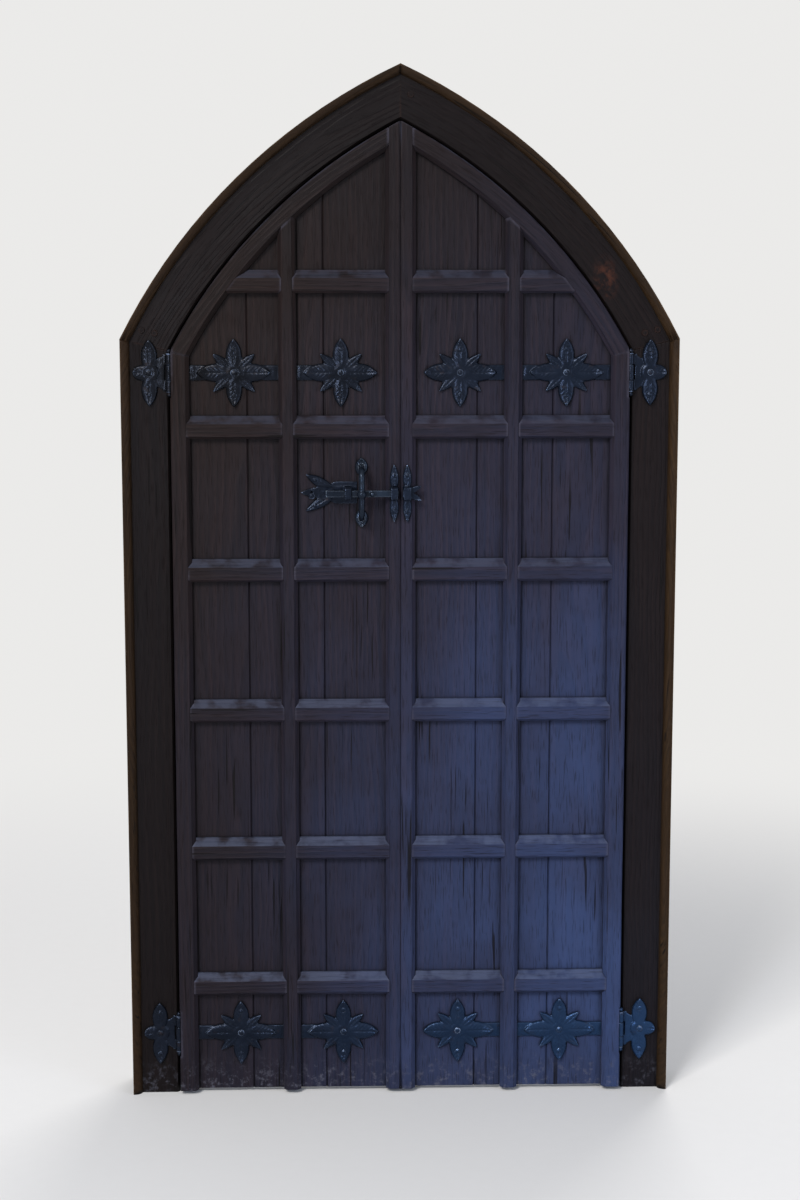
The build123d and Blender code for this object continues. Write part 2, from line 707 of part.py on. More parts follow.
def bar_run(fit):
    """The room for the bar over its whole travel."""
    return latch_bar_block(True, fit) + latch_bar_block(False, fit)


def latch_plate_nails():
    """One nail in each prong of the latch plate."""
    reach = LATCH_PRONG_LENGTH - NAIL_FROM_TIP
    spots = []
    for tilt in (-LATCH_PRONG_ANGLE, 0, LATCH_PRONG_ANGLE):
        x = -LATCH_PRONG_OFFSET - reach * cos(radians(tilt))
        spots.append((x, LATCH_HEIGHT + reach * sin(radians(tilt))))
    return spots


def build_latch_plate():
    """Plate with three leaf prongs, and the staple and pad that hold the bar's tail."""
    near, far = FIRST_LOOP_OFFSET - LATCH_PLATE_MARGIN, LATCH_PRONG_OFFSET
    shape = Pos(-(near + far) / 2, 0) * Rectangle(far - near, LATCH_PLATE_HEIGHT)
    shape += Pos(-LATCH_PRONG_OFFSET, 0) * Circle(LATCH_PLATE_HEIGHT / 2)
    for tilt in (-LATCH_PRONG_ANGLE, 0, LATCH_PRONG_ANGLE):
        shape += Pos(-LATCH_PRONG_OFFSET, 0) * lobe(LATCH_PRONG_LENGTH, LATCH_PRONG_WIDTH, 180 + tilt)
    plate = slab(Pos(0, LATCH_HEIGHT) * shape, FACE, IRON_FACE)
    plate = plate + latch_loop(-FIRST_LOOP_OFFSET, IRON_FACE, LATCH_FIT) - bar_run(LATCH_FIT)
    return plate - [square_nail(x, z, IRON_FACE, True) for x, z in latch_plate_nails()]


def stile_plate_nails(centre):
    """Nails in the upper and lower leaf of a plate on a meeting stile."""
    return [(centre, LATCH_HEIGHT + n * (STILE_LOBE_LENGTH - NAIL_FROM_TIP)) for n in (-1, 1)]


def stile_plate(centre, fit, fishtail):
    """Leaf-ended plate on a meeting stile with a staple across its middle."""
    tall = LATCH_BAR_HEIGHT + 2 * LOOP_THICKNESS + 2 * fit
    shape = Rectangle(STILE_LOBE_WIDTH, tall)
    for angle in (90, -90):
        shape += lobe(STILE_LOBE_LENGTH, STILE_LOBE_WIDTH, angle)
    if fishtail:
        for tilt in (-FISHTAIL_ANGLE, FISHTAIL_ANGLE):
            shape += lobe(FISHTAIL_LENGTH, FISHTAIL_WIDTH, tilt)
    plate = slab(Pos(centre, LATCH_HEIGHT) * shape, RIB_FACE, RIB_IRON_FACE)
    plate = plate + latch_loop(centre, RIB_IRON_FACE, fit) - bar_run(fit)
    return plate - [square_nail(x, z, RIB_IRON_FACE, True) for x, z in stile_plate_nails(centre)]


# Pulls
def build_pull(x, z, length, reach, seat, outward):
    """Bow pull with leaf-shaped feet and a knop at its middle."""
    half = length / 2
    root = half - PULL_FOOT_INSET - PULL_RADIUS
    far = seat + outward * reach
    corner = root - PULL_RADIUS
    points = [(x, seat, z + root), (x, far, z + corner), (x, far, z - corner), (x, seat, z - root)]
    path = FilletPolyline(*points, radius=PULL_BEND)
    bow = sweep(Plane(path @ 0, z_dir=path % 0) * Circle(PULL_RADIUS), path=path)
    bow = bow + Pos(x, far, z) * Sphere(PULL_KNOP_RADIUS)
    feet = Pos(0, half - PULL_FOOT_LENGTH) * lobe(PULL_FOOT_LENGTH, PULL_FOOT_WIDTH, 90)
    feet += mirror(feet, about=Plane.XZ)
    depths = (seat - outward * IRON_THICKNESS, seat)
    return bow + slab(Pos(x, z) * feet, max(depths), min(depths))


# Bolts on the back
def bolt_socket():
    """Hole in the arch stop for the top bolt."""
    tip, _ = bolt_tips()["top"]
    low, high = tip - BOLT_TIP_GAP, tip + BOLT_TRAVEL + BOLT_SOCKET_FIT
    middle = Pos(BOLT_OFFSET, BOLT_Y, (low + high) / 2)
    return middle * Cylinder(BOLT_RADIUS + BOLT_SOCKET_FIT, high - low)


def barrel_heights():
    """Middles of the two barrels, measured back from the withdrawn tip."""
    first = BARREL_SETBACK + BARREL_HEIGHT / 2
    return first, first + BARREL_SPACING


def build_bolt(name):
    """Round bolt with a chamfered tip and a turned knob."""
    tip, way = bolt_tips()[name]
    rod = Pos(BOLT_OFFSET, BOLT_Y, tip - way * BOLT_LENGTH / 2) * Cylinder(BOLT_RADIUS, BOLT_LENGTH)
    end = rod.edges().filter_by(GeomType.CIRCLE).sort_by(Axis.Z)[-1 if way > 0 else 0]
    rod = chamfer(end, BOLT_TIP_CHAMFER)
    back = sum(barrel_heights()) / 2 + BOLT_TRAVEL / 2
    neck = Plane.XZ.offset(-BOLT_Y) * Pos(BOLT_OFFSET, tip - way * back)
    stem = extrude(neck * Circle(BOLT_STEM_RADIUS), -BOLT_KNOB_REACH + BOLT_KNOB_RADIUS)
    knob = neck * Pos(0, 0, -BOLT_KNOB_REACH + BOLT_KNOB_RADIUS) * Sphere(BOLT_KNOB_RADIUS)
    return rod + stem + knob


def build_barrel_plate(name):
    """Back plate with two barrels for a bolt."""
    tip, way = bolt_tips()[name]
    near, far = barrel_heights()
    margin = BARREL_HEIGHT / 2 + BOLT_PLATE_MARGIN
    ends = sorted((tip - way * (near - margin), tip - way * (far + margin)))
    half = BOLT_PLATE_WIDTH / 2
    plate = block(
        (BOLT_OFFSET - half, 0, ends[0]),
        (BOLT_OFFSET + half, BOLT_PLATE_THICKNESS, ends[1]),
    )
    for back in (near, far):
        z = tip - way * back
        barrel = Pos(BOLT_OFFSET, BOLT_Y, z) * Cylinder(BARREL_RADIUS, BARREL_HEIGHT)
        web = block(
            (BOLT_OFFSET - BARREL_RADIUS, BOLT_PLATE_THICKNESS, z - BARREL_HEIGHT / 2),
            (BOLT_OFFSET + BARREL_RADIUS, BOLT_Y, z + BARREL_HEIGHT / 2),
        )
        plate = plate + barrel + web
    bore = Pos(BOLT_OFFSET, BOLT_Y, sum(ends) / 2) * Cylinder(BOLT_RADIUS + BOLT_FIT, 2 * BOLT_LENGTH)
    return plate - bore


# Whole door
def leaf_pieces(side, boards, ribs, rails, ledges, straps):
    """Named pieces of one leaf."""
    pieces = {f"board_{side}_{n + 1}": board for n, board in enumerate(boards)}
    pieces.update({f"{name}_{side}": rib for name, rib in ribs.items()})
    pieces.update({f"rail_{side}_{n + 1}": rail for n, rail in enumerate(rails)})
    pieces[f"ledges_{side}"] = Compound(children=list(ledges))
    pieces.update({f"strap_{name}_{side}": strap for name, strap in straps.items()})
    return pieces


def drilled(pieces, holes):
    """The pieces with their nail holes cut, leaving alone those that no hole meets."""
    return [piece - holes for piece in pieces]


def build_door():
    parts = build_frame()
    boards, (ribs, rails), ledges = build_boards(), build_ribs(), build_ledges()
    straps = {name: build_strap(z) for name, z in HINGE_HEIGHTS.items()}
    shared_holes = [square_nail(x, z, IRON_FACE, True) for x, z in strap_nails()]
    boards = drilled(boards, shared_holes)

    keeper_centre = INNER_EDGE + RIB_ARRIS + STILE_LOBE_WIDTH / 2
    staple_centre = -SECOND_LOOP_OFFSET
    keeper_holes = [square_nail(x, z, RIB_IRON_FACE, True) for x, z in stile_plate_nails(keeper_centre)]
    right_ribs = {**ribs, "stile_meeting": ribs["stile_meeting"] - keeper_holes}
    parts.update(leaf_pieces("right", boards, right_ribs, rails, ledges, straps))

    left_boards = [mirrored(b) for b in boards]
    latch_holes = [square_nail(x, z, IRON_FACE, True) for x, z in latch_plate_nails()]
    left_boards = drilled(left_boards, latch_holes)
    left_ribs = {name: mirrored(rib) for name, rib in ribs.items()}
    staple_holes = [square_nail(x, z, RIB_IRON_FACE, True) for x, z in stile_plate_nails(staple_centre)]
    left_ribs["stile_meeting"] = left_ribs["stile_meeting"] - staple_holes
    left_straps = {name: mirrored(strap) for name, strap in straps.items()}
    left_rails = [mirrored(r) for r in rails]
    left_ledges = [mirrored(piece) for piece in ledges]
    parts.update(leaf_pieces("left", left_boards, left_ribs, left_rails, left_ledges, left_straps))

    leaf_nails = [square_nail(x, z, IRON_FACE) for x, z in strap_nails()]
    keeper_nails = [square_nail(x, z, RIB_IRON_FACE) for x, z in stile_plate_nails(keeper_centre)]
    latch_nails = [square_nail(x, z, IRON_FACE) for x, z in latch_plate_nails()]
    latch_nails += [square_nail(x, z, RIB_IRON_FACE) for x, z in stile_plate_nails(staple_centre)]
    parts["nails_right"] = Compound(children=leaf_nails + keeper_nails)
    parts["nails_left"] = Compound(children=[mirrored(n) for n in leaf_nails] + latch_nails)

    jamb_nails = [square_nail(x, z, IRON_FACE) for x, z in jamb_plate_nails()]
    jamb_holes = [square_nail(x, z, IRON_FACE, True) for x, z in jamb_plate_nails()]
    parts["nails_jamb"] = Compound(children=jamb_nails + [mirrored(n) for n in jamb_nails])
    parts["jamb_right"] = parts["jamb_right"] - jamb_holes
    parts["jamb_left"] = parts["jamb_left"] - [mirrored(h) for h in jamb_holes]
    for name, height in HINGE_HEIGHTS.items():
        plate = build_jamb_plate(height)
        parts[f"hinge_plate_{name}_right"] = plate
        parts[f"hinge_plate_{name}_left"] = mirrored(plate)
    pins = [build_pin(z) for z in HINGE_HEIGHTS.values()]
    parts["hinge_pins"] = Compound(children=pins + [mirrored(p) for p in pins])

    parts["latch_plate"] = build_latch_plate()
    parts["latch_bar"] = build_latch_bar()
    parts["latch_staple"] = stile_plate(staple_centre, LATCH_FIT, False)
    parts["keeper"] = stile_plate(keeper_centre, KEEPER_FIT, True)
    parts["pull_face"] = build_pull(
        -FACE_PULL_OFFSET, LATCH_HEIGHT, FACE_PULL_LENGTH, FACE_PULL_REACH, IRON_FACE, -1
    )
    parts["pull_back"] = build_pull(
        -BACK_PULL_OFFSET, BACK_PULL_HEIGHT, BACK_PULL_LENGTH, BACK_PULL_REACH, IRON_THICKNESS, 1
    )
    for name in bolt_tips():
        parts[f"bolt_{name}"] = build_bolt(name)
    parts["bolt_barrels"] = Compound(children=[build_barrel_plate(name) for name in bolt_tips()])
    return parts


os.makedirs("parts", exist_ok=True)
for name, piece in build_door().items():
    export_step(piece, f"parts/{name}.step")
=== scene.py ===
# A pair of pointed oak leaves in their oak frame, with wrought ironwork, in a pale studio.
import json
import math
import random
from typing import NamedTuple

import bpy
import numpy as np
from mathutils import Matrix, Vector, noise

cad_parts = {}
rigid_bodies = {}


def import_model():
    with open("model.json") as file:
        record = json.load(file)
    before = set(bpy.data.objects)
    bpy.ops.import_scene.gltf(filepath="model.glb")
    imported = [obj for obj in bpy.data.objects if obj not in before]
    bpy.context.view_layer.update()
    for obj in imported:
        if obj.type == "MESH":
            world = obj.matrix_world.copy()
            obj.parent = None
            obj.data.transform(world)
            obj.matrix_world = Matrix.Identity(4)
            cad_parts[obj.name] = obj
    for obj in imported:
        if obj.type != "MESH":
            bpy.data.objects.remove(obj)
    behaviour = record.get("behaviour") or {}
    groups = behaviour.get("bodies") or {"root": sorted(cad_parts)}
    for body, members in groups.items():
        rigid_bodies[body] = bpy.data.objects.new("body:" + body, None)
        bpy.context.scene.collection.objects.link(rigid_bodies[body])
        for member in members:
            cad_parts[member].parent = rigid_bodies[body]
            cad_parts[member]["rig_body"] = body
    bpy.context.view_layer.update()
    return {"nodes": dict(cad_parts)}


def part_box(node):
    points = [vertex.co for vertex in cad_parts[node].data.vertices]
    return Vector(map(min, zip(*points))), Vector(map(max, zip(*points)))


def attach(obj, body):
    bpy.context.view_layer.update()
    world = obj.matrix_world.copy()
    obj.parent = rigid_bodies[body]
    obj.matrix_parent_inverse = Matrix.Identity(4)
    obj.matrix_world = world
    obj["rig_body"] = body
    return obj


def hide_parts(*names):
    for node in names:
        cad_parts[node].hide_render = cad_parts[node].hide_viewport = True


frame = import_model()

nodes = frame["nodes"]
random.seed(7)
noise.seed_set(7)
MM = 0.001


# Making and editing objects
MERGE_WITHIN = 0.01 * MM
FLAT_WITHIN = math.radians(0.5)


def new_object(name, data):
    made = bpy.data.objects.new(name, data)
    bpy.context.scene.collection.objects.link(made)
    return made


def deselect_all():
    bpy.ops.object.select_all(action="DESELECT")


def activate(piece):
    """Make one object the only one selected, ready to be edited."""
    deselect_all()
    piece.hide_set(False)
    piece.select_set(True)
    bpy.context.view_layer.objects.active = piece


def apply_modifiers(piece):
    activate(piece)
    for modifier in list(piece.modifiers):
        bpy.ops.object.modifier_apply(modifier=modifier.name)


def join(pieces, name):
    """One piece made of several."""
    activate(pieces[0])
    for piece in pieces:
        piece.select_set(True)
    bpy.ops.object.join()
    pieces[0].name = name
    return pieces[0]


def copy_of_node(name, new_name):
    """A copy of a node's mesh with its doubles merged and its flat faces whole."""
    piece = new_object(new_name, nodes[name].data.copy())
    activate(piece)
    bpy.ops.object.mode_set(mode="EDIT")
    bpy.ops.mesh.select_all(action="SELECT")
    bpy.ops.mesh.remove_doubles(threshold=MERGE_WITHIN)
    bpy.ops.mesh.dissolve_limited(angle_limit=FLAT_WITHIN)
    bpy.ops.object.mode_set(mode="OBJECT")
    return piece


def stand_in(piece, node_name, material):
    """Let a piece stand for a node, on the same body and with the given material."""
    piece.data.materials.clear()
    piece.data.materials.append(material)
    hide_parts(node_name)
    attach(piece, nodes[node_name]["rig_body"])
    return piece


# Places read from the frame
def node_middle(name):
    low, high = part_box(name)
    return (low + high) / 2


SIDES = {"left": -1, "right": 1}
HINGES = ("lower", "upper")
HINGE_HEIGHT = {level: node_middle(f"strap_{level}_right").z for level in HINGES}
LATCH_HEIGHT = node_middle("latch_bar").z
BOARD_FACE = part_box("hinge_plate_lower_right")[1].y
RIB_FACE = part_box("rail_right_1")[0].y
FRAME_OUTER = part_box("jamb_right")[1].x
FRAME_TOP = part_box("head_right")[1].z

# How far past the middle line each arc of the arch has its centre
ARCH_SETBACK = 488 * MM


def arch_centre_height():
    """Height of the arch's centre, from the frame's point and its corner at the springing."""
    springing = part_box("jamb_right")[1].z
    rise = FRAME_TOP - springing
    wide, narrow = ARCH_SETBACK + FRAME_OUTER, ARCH_SETBACK
    return springing - (wide**2 - narrow**2 - rise**2) / (2 * rise)


ARCH_CENTRE_Z = arch_centre_height()


# Shader building
class Shader:
    """A node tree with short calls for the nodes that the finishes use."""

    def __init__(self, tree):
        self.tree = tree

    def node(self, kind, **settings):
        made = self.tree.nodes.new(kind)
        for key, value in settings.items():
            setattr(made, key, value)
        return made

    def link(self, source, target):
        self.tree.links.new(source, target)

    def feed(self, socket, value):
        if isinstance(value, bpy.types.NodeSocket):
            self.link(value, socket)
        else:
            socket.default_value = value

    def where(self):
        """Each point's place in metres, in the object's own coordinates."""
        return self.node("ShaderNodeTexCoord").outputs["Object"]

    def attribute(self, name, output):
        return self.node("ShaderNodeAttribute", attribute_name=name).outputs[output]

    def math(self, operation, a, b=0.0, c=0.0):
        made = self.node("ShaderNodeMath", operation=operation)
        for socket, value in zip(made.inputs, (a, b, c)):
            self.feed(socket, value)
        return made.outputs[0]

    def times(self, a, b):
        return self.math("MULTIPLY", a, b)

    def plus(self, base, value, share):
        """A base with a share of another value added to it."""
        return self.math("MULTIPLY_ADD", value, share, base)

    def vector_math(self, operation, *values):
        made = self.node("ShaderNodeVectorMath", operation=operation)
        for socket, value in zip(made.inputs, values):
            self.feed(socket, value)
        return made.outputs

    def stretched(self, vector, scale):
        return self.vector_math("MULTIPLY", vector, scale)[0]

    def shifted(self, vector, centre):
        return self.vector_math("SUBTRACT", vector, centre)[0]

    def length(self, vector):
        return self.vector_math("LENGTH", vector)["Value"]

    def parts(self, vector):
        made = self.node("ShaderNodeSeparateXYZ")
        self.feed(made.inputs[0], vector)
        return made.outputs

    def mix(self, factor, a, b):
        made = self.node("ShaderNodeMix", data_type="RGBA")
        self.feed(made.inputs["Factor"], factor)
        self.feed(made.inputs[6], a)
        self.feed(made.inputs[7], b)
        return made.outputs[2]

    def blend_toward(self, colour, mask, share, towards):
        """A colour moved towards another where a mask says so, by a share at most."""
        return self.mix(self.times(mask, share), colour, towards)

    def ramp(self, value, low, high, to_low=0.0, to_high=1.0):
        """Smooth step of a value from one range to another."""
        made = self.node("ShaderNodeMapRange", interpolation_type="SMOOTHSTEP")
        self.feed(made.inputs["Value"], value)
        limits = {"From Min": low, "From Max": high, "To Min": to_low, "To Max": to_high}
        for key, number in limits.items():
            self.feed(made.inputs[key], number)
        return made.outputs["Result"]

    def noise(self, vector, scale, detail=3.0, rough=0.55):
        made = self.node("ShaderNodeTexNoise")
        self.feed(made.inputs["Vector"], vector)
        self.feed(made.inputs["Scale"], scale)
        self.feed(made.inputs["Detail"], detail)
        self.feed(made.inputs["Roughness"], rough)
        return made.outputs["Fac"]

    def long_noise(self, vector, scales, detail=3.0, rough=0.55):
        """Noise with a scale of its own along each axis."""
        return self.noise(self.stretched(vector, scales), 1.0, detail, rough)

    def bump(self, height, strength, distance, normal=None):
        made = self.node("ShaderNodeBump")
        self.feed(made.inputs["Strength"], strength)
        self.feed(made.inputs["Distance"], distance)
        self.feed(made.inputs["Height"], height)
        if normal is not None:
            self.feed(made.inputs["Normal"], normal)
        return made.outputs["Normal"]

    def sees_background(self):
        """1 for rays that see the pale background: the camera's, gloss and transmission."""
        path = self.node("ShaderNodeLightPath").outputs
        gloss = self.math("MAXIMUM", path["Is Camera Ray"], path["Is Glossy Ray"])
        return self.math("MAXIMUM", gloss, path["Is Transmission Ray"])


def tone(text):
    """Linear colour from a hexadecimal screen colour."""
    def linear(value):
        return value / 12.92 if value <= 0.04045 else ((value + 0.055) / 1.055) ** 2.4

    return tuple(linear(int(text[i:i + 2], 16) / 255) for i in (0, 2, 4)) + (1.0,)


FLOAT, VECTOR = "NodeSocketFloat", "NodeSocketVector"


def new_group(name, inputs, outputs):
    """Node group with named sockets, ready for its nodes."""
    tree = bpy.data.node_groups.new(name, "ShaderNodeTree")
    for socket, kind, default in inputs:
        made = tree.interface.new_socket(socket, in_out="INPUT", socket_type=kind)
        if default is not None:
            made.default_value = default
    for socket in outputs:
        tree.interface.new_socket(socket, in_out="OUTPUT", socket_type=FLOAT)
    shader = Shader(tree)
    source = shader.node("NodeGroupInput")
    target = shader.node("NodeGroupOutput")
    return tree, shader, source.outputs, target.inputs


# The figure of the wood, in waves to a metre along the grain and in both directions across it
STREAK_SCALES = (3.0, 130.0, 130.0)
WARP_SCALES = (1.6, 9.0, 9.0)
PORE_SCALES = (28.0, 520.0, 520.0)
FLECK_SCALES = (45.0, 300.0, 60.0)
CHECK_SCALES = (5.0, 190.0, 190.0)
CHECKED_PLACE_SCALES = (3.0, 11.0, 11.0)
RING_SPACING = 9 * MM
RING_WARP = 55 * MM
RING_GROWS, RING_ENDS = (0.1, 0.85), (1.0, 0.88)

# How high each part of the figure stands in the bump
RING_HEIGHT, STREAK_HEIGHT, PORE_HEIGHT, CHECK_HEIGHT = 0.5, 0.6, -0.35, -1.6


def oak_grain_group():
    """Streaks, growth rings, pores, ray flecks and drying checks along a timber's grain."""
    tree, s, given, out = new_group(
        "Oak grain",
        [("Grain", VECTOR, None), ("Ring spacing", FLOAT, RING_SPACING)],
        ("Streaks", "Rings", "Pores", "Flecks", "Checks", "Height"),
    )
    grain = given["Grain"]
    streaks = s.long_noise(grain, STREAK_SCALES, detail=5.0, rough=0.6)
    warp = s.long_noise(grain, WARP_SCALES, detail=3.0, rough=0.5)
    across = s.parts(grain)
    squares = s.plus(s.times(across[2], across[2]), across[1], across[1])
    warped = s.plus(s.math("SQRT", squares), warp, RING_WARP)
    turns = s.math("FRACT", s.math("DIVIDE", warped, given["Ring spacing"]))
    rings = s.times(s.ramp(turns, *RING_GROWS), s.ramp(turns, *RING_ENDS))
    pores = s.ramp(s.long_noise(grain, PORE_SCALES, detail=2.0, rough=0.5), low=0.55, high=0.68)
    flecks = s.long_noise(grain, FLECK_SCALES, detail=1.0, rough=0.4)
    flecks = s.ramp(flecks, low=0.62, high=0.7)
    slits = s.ramp(s.long_noise(grain, CHECK_SCALES, detail=0.0), low=0.69, high=0.74)
    checked = s.long_noise(grain, CHECKED_PLACE_SCALES, detail=1.0)
    checked = s.ramp(checked, low=0.52, high=0.64)
    checks = s.times(slits, checked)
    height = s.plus(s.times(streaks, STREAK_HEIGHT), rings, RING_HEIGHT)
    height = s.plus(height, pores, PORE_HEIGHT)
    height = s.plus(height, checks, CHECK_HEIGHT)
    for socket, value in zip(out, (streaks, rings, pores, flecks, checks, height)):
        s.link(value, socket)
    return tree


# Shares of open space about a point, from which a mask starts and at which it is full
OPEN_AT_EDGES, OPEN_IN_HOLLOWS = (0.85, 0.35), (0.95, 0.35)
WORN_PATCHES, HOLLOW_SHADE_PATCHES = (0.34, 0.62), (0.15, 0.5)
OCCLUSION_SAMPLES = 4


def edges_and_hollows_group():
    """Masks for worn outward edges and for painted shade in the corners and hollows, both broken up
    by noise.
    """
    tree, s, given, out = new_group(
        "Edge wear",
        [("Reach", FLOAT, 4 * MM), ("Corner", FLOAT, 16 * MM), ("Break up", FLOAT, 14.0)],
        ("Edges", "Hollows"),
    )
    patches = s.noise(s.where(), given["Break up"], detail=4.0)
    inner = s.node(
        "ShaderNodeAmbientOcclusion", inside=True, only_local=True, samples=OCCLUSION_SAMPLES
    )
    s.feed(inner.inputs["Distance"], given["Reach"])
    outer = s.node("ShaderNodeAmbientOcclusion", samples=OCCLUSION_SAMPLES)
    s.feed(outer.inputs["Distance"], given["Corner"])
    edges = s.ramp(inner.outputs["AO"], *OPEN_AT_EDGES)
    hollows = s.ramp(outer.outputs["AO"], *OPEN_IN_HOLLOWS)
    s.link(s.times(edges, s.ramp(patches, *WORN_PATCHES)), out["Edges"])
    s.link(s.times(hollows, s.ramp(patches, *HOLLOW_SHADE_PATCHES)), out["Hollows"])
    return tree


# Where the painted sky reflection starts and where it is full, in metres up and to the right
SKY_REFLECTION_DOWN, SKY_REFLECTION_RIGHT = (1.75, 0.25), (-0.5, 0.45)
SKY_REFLECTION_TOGETHER, SKY_REFLECTION_ALONE = 0.75, 0.15
CLOUD_SCALES = (3.0, 3.0, 1.4)


def painted_sky_reflection_group():
    """How strongly a bluish sky reflection is painted on wood and iron, most near the foot and on
    the right.
    """
    tree, s, given, out = new_group("Daylight", [("Amount", FLOAT, 1.0)], ("Faded",))
    where = s.where()
    axes = s.parts(where)
    down = s.ramp(axes[2], *SKY_REFLECTION_DOWN)
    right = s.ramp(axes[0], *SKY_REFLECTION_RIGHT)
    alone = s.times(s.math("ADD", down, right), SKY_REFLECTION_ALONE)
    light = s.plus(alone, s.times(down, right), SKY_REFLECTION_TOGETHER)
    cloud = s.long_noise(where, CLOUD_SCALES, detail=4.0)
    cloud = s.ramp(cloud, low=0.3, high=0.7, to_low=0.55, to_high=1.0)
    s.link(s.times(s.times(light, cloud), given["Amount"]), out["Faded"])
    return tree


OAK_GRAIN = oak_grain_group()
EDGES_AND_HOLLOWS = edges_and_hollows_group()
PAINTED_SKY_REFLECTION = painted_sky_reflection_group()


def new_material(name):
    material = bpy.data.materials.new(name)
    material.use_nodes = True
    return material, Shader(material.node_tree), material.node_tree.nodes["Principled BSDF"]


def place_group(shader, tree, **values):
    placed = shader.node("ShaderNodeGroup", node_tree=tree)
    for key, value in values.items():
        shader.feed(placed.inputs[key.replace("_", " ").capitalize()], value)
    return placed.outputs


# Oak finishes
BARE_WOOD = tone("43251a")
SCUFFED = tone("5d5d68")
# Painted shade for corners and hollows
HOLLOW_SHADE = tone("0b0807")
CHECK_SHADOW = tone("070505")
# Dust, with a painted bluish highlight, on faces that look up
DUST_AND_HIGHLIGHT = tone("66708a")

RUBBED_PLACE = (0.405, BOARD_FACE, 1.675)
RUBBED_STRETCH = (1.0, 1.0, 0.6)
RUBBED_REACH = (34 * MM, 6 * MM)
SCUFFED_HEIGHTS = (90 * MM, 10 * MM)
DUST_AND_HIGHLIGHT_HEIGHTS = (0.4, 1.6)
# Painted shade: heights and places along X over which the timber darkens towards the top and the
# left
PAINTED_SHADE_UP, PAINTED_SHADE_LEFT = (1.25, 2.0, 0.0, 0.55), (0.05, -0.4, 0.0, 0.4)
HAND_WORK_SCALES = (9.0, 9.0, 5.0)


class OakTones(NamedTuple):
    """Colours of one oak finish, from its pores to its rubbed edges."""

    deep: str
    body: str
    pale: str
    worn: str
    sky_reflection: str


def timber_colour(s, tones, figure, where, sky_reflection_share):
    """Colour of sound timber: its figure, the painted bluish sky reflection near the foot and on
    the right, and the painted shade that darkens the upper left.
    """
    deep, body, pale, _, sky_reflection = tones
    timber = s.attribute("timber", "Fac")
    streaked = s.ramp(figure["Streaks"], low=0.3, high=0.7, to_low=-0.25, to_high=0.75)
    lightness = s.plus(streaked, timber, share=0.5)
    colour = s.mix(s.math("MAXIMUM", lightness, 0.0), body, pale)
    colour = s.blend_toward(colour, figure["Rings"], share=0.5, towards=deep)
    colour = s.blend_toward(colour, figure["Flecks"], share=0.35, towards=pale)
    # Painted bluish sky reflection, lighter and bluer towards the foot and the right.
    painted_sky = place_group(s, PAINTED_SKY_REFLECTION, amount=sky_reflection_share)
    colour = s.blend_toward(colour, painted_sky["Faded"], s.plus(0.72, timber, share=0.35), sky_reflection)
    colour = s.blend_toward(colour, figure["Pores"], share=0.45, towards=deep)
    axes = s.parts(where)
    # Painted shade: darker towards the top and towards the left.
    painted_shade = s.math("MAXIMUM", s.ramp(axes[2], *PAINTED_SHADE_UP), s.ramp(axes[0], *PAINTED_SHADE_LEFT))
    return s.mix(painted_shade, colour, deep)


def rubbed_bare(s, colour, where, share):
    """Bare wood in the rubbed place on the right arch timber."""
    away = s.length(s.stretched(s.shifted(where, RUBBED_PLACE), RUBBED_STRETCH))
    broken = s.ramp(s.noise(where, scale=55.0, detail=6.0, rough=0.7), low=0.42, high=0.62)
    return s.blend_toward(colour, s.times(s.ramp(away, *RUBBED_REACH), broken), share, BARE_WOOD)


def scuffed(s, colour, where, share):
    """Pale scuffs and splashes close to the floor."""
    splashed = s.ramp(s.noise(where, scale=80.0, detail=8.0, rough=0.75), low=0.5, high=0.68)
    low = s.times(s.ramp(s.parts(where)[2], *SCUFFED_HEIGHTS), splashed)
    return s.blend_toward(colour, low, share, SCUFFED)


def dust_and_highlight_on_top(s, colour, where, share):
    """Dust and a painted bluish highlight on whatever faces up, thickest low down."""
    upward = s.parts(s.node("ShaderNodeNewGeometry").outputs["Normal"])[2]
    patches = s.ramp(s.noise(where, scale=30.0, detail=4.0), low=0.3, high=0.6)
    lying = s.times(s.ramp(upward, low=0.25, high=0.8), patches)
    lying = s.times(lying, s.ramp(s.parts(where)[2], *DUST_AND_HIGHLIGHT_HEIGHTS, to_low=1.0, to_high=0.4))
    # Dust together with a painted highlight on the upward faces.
    return s.blend_toward(colour, lying, share, DUST_AND_HIGHLIGHT)


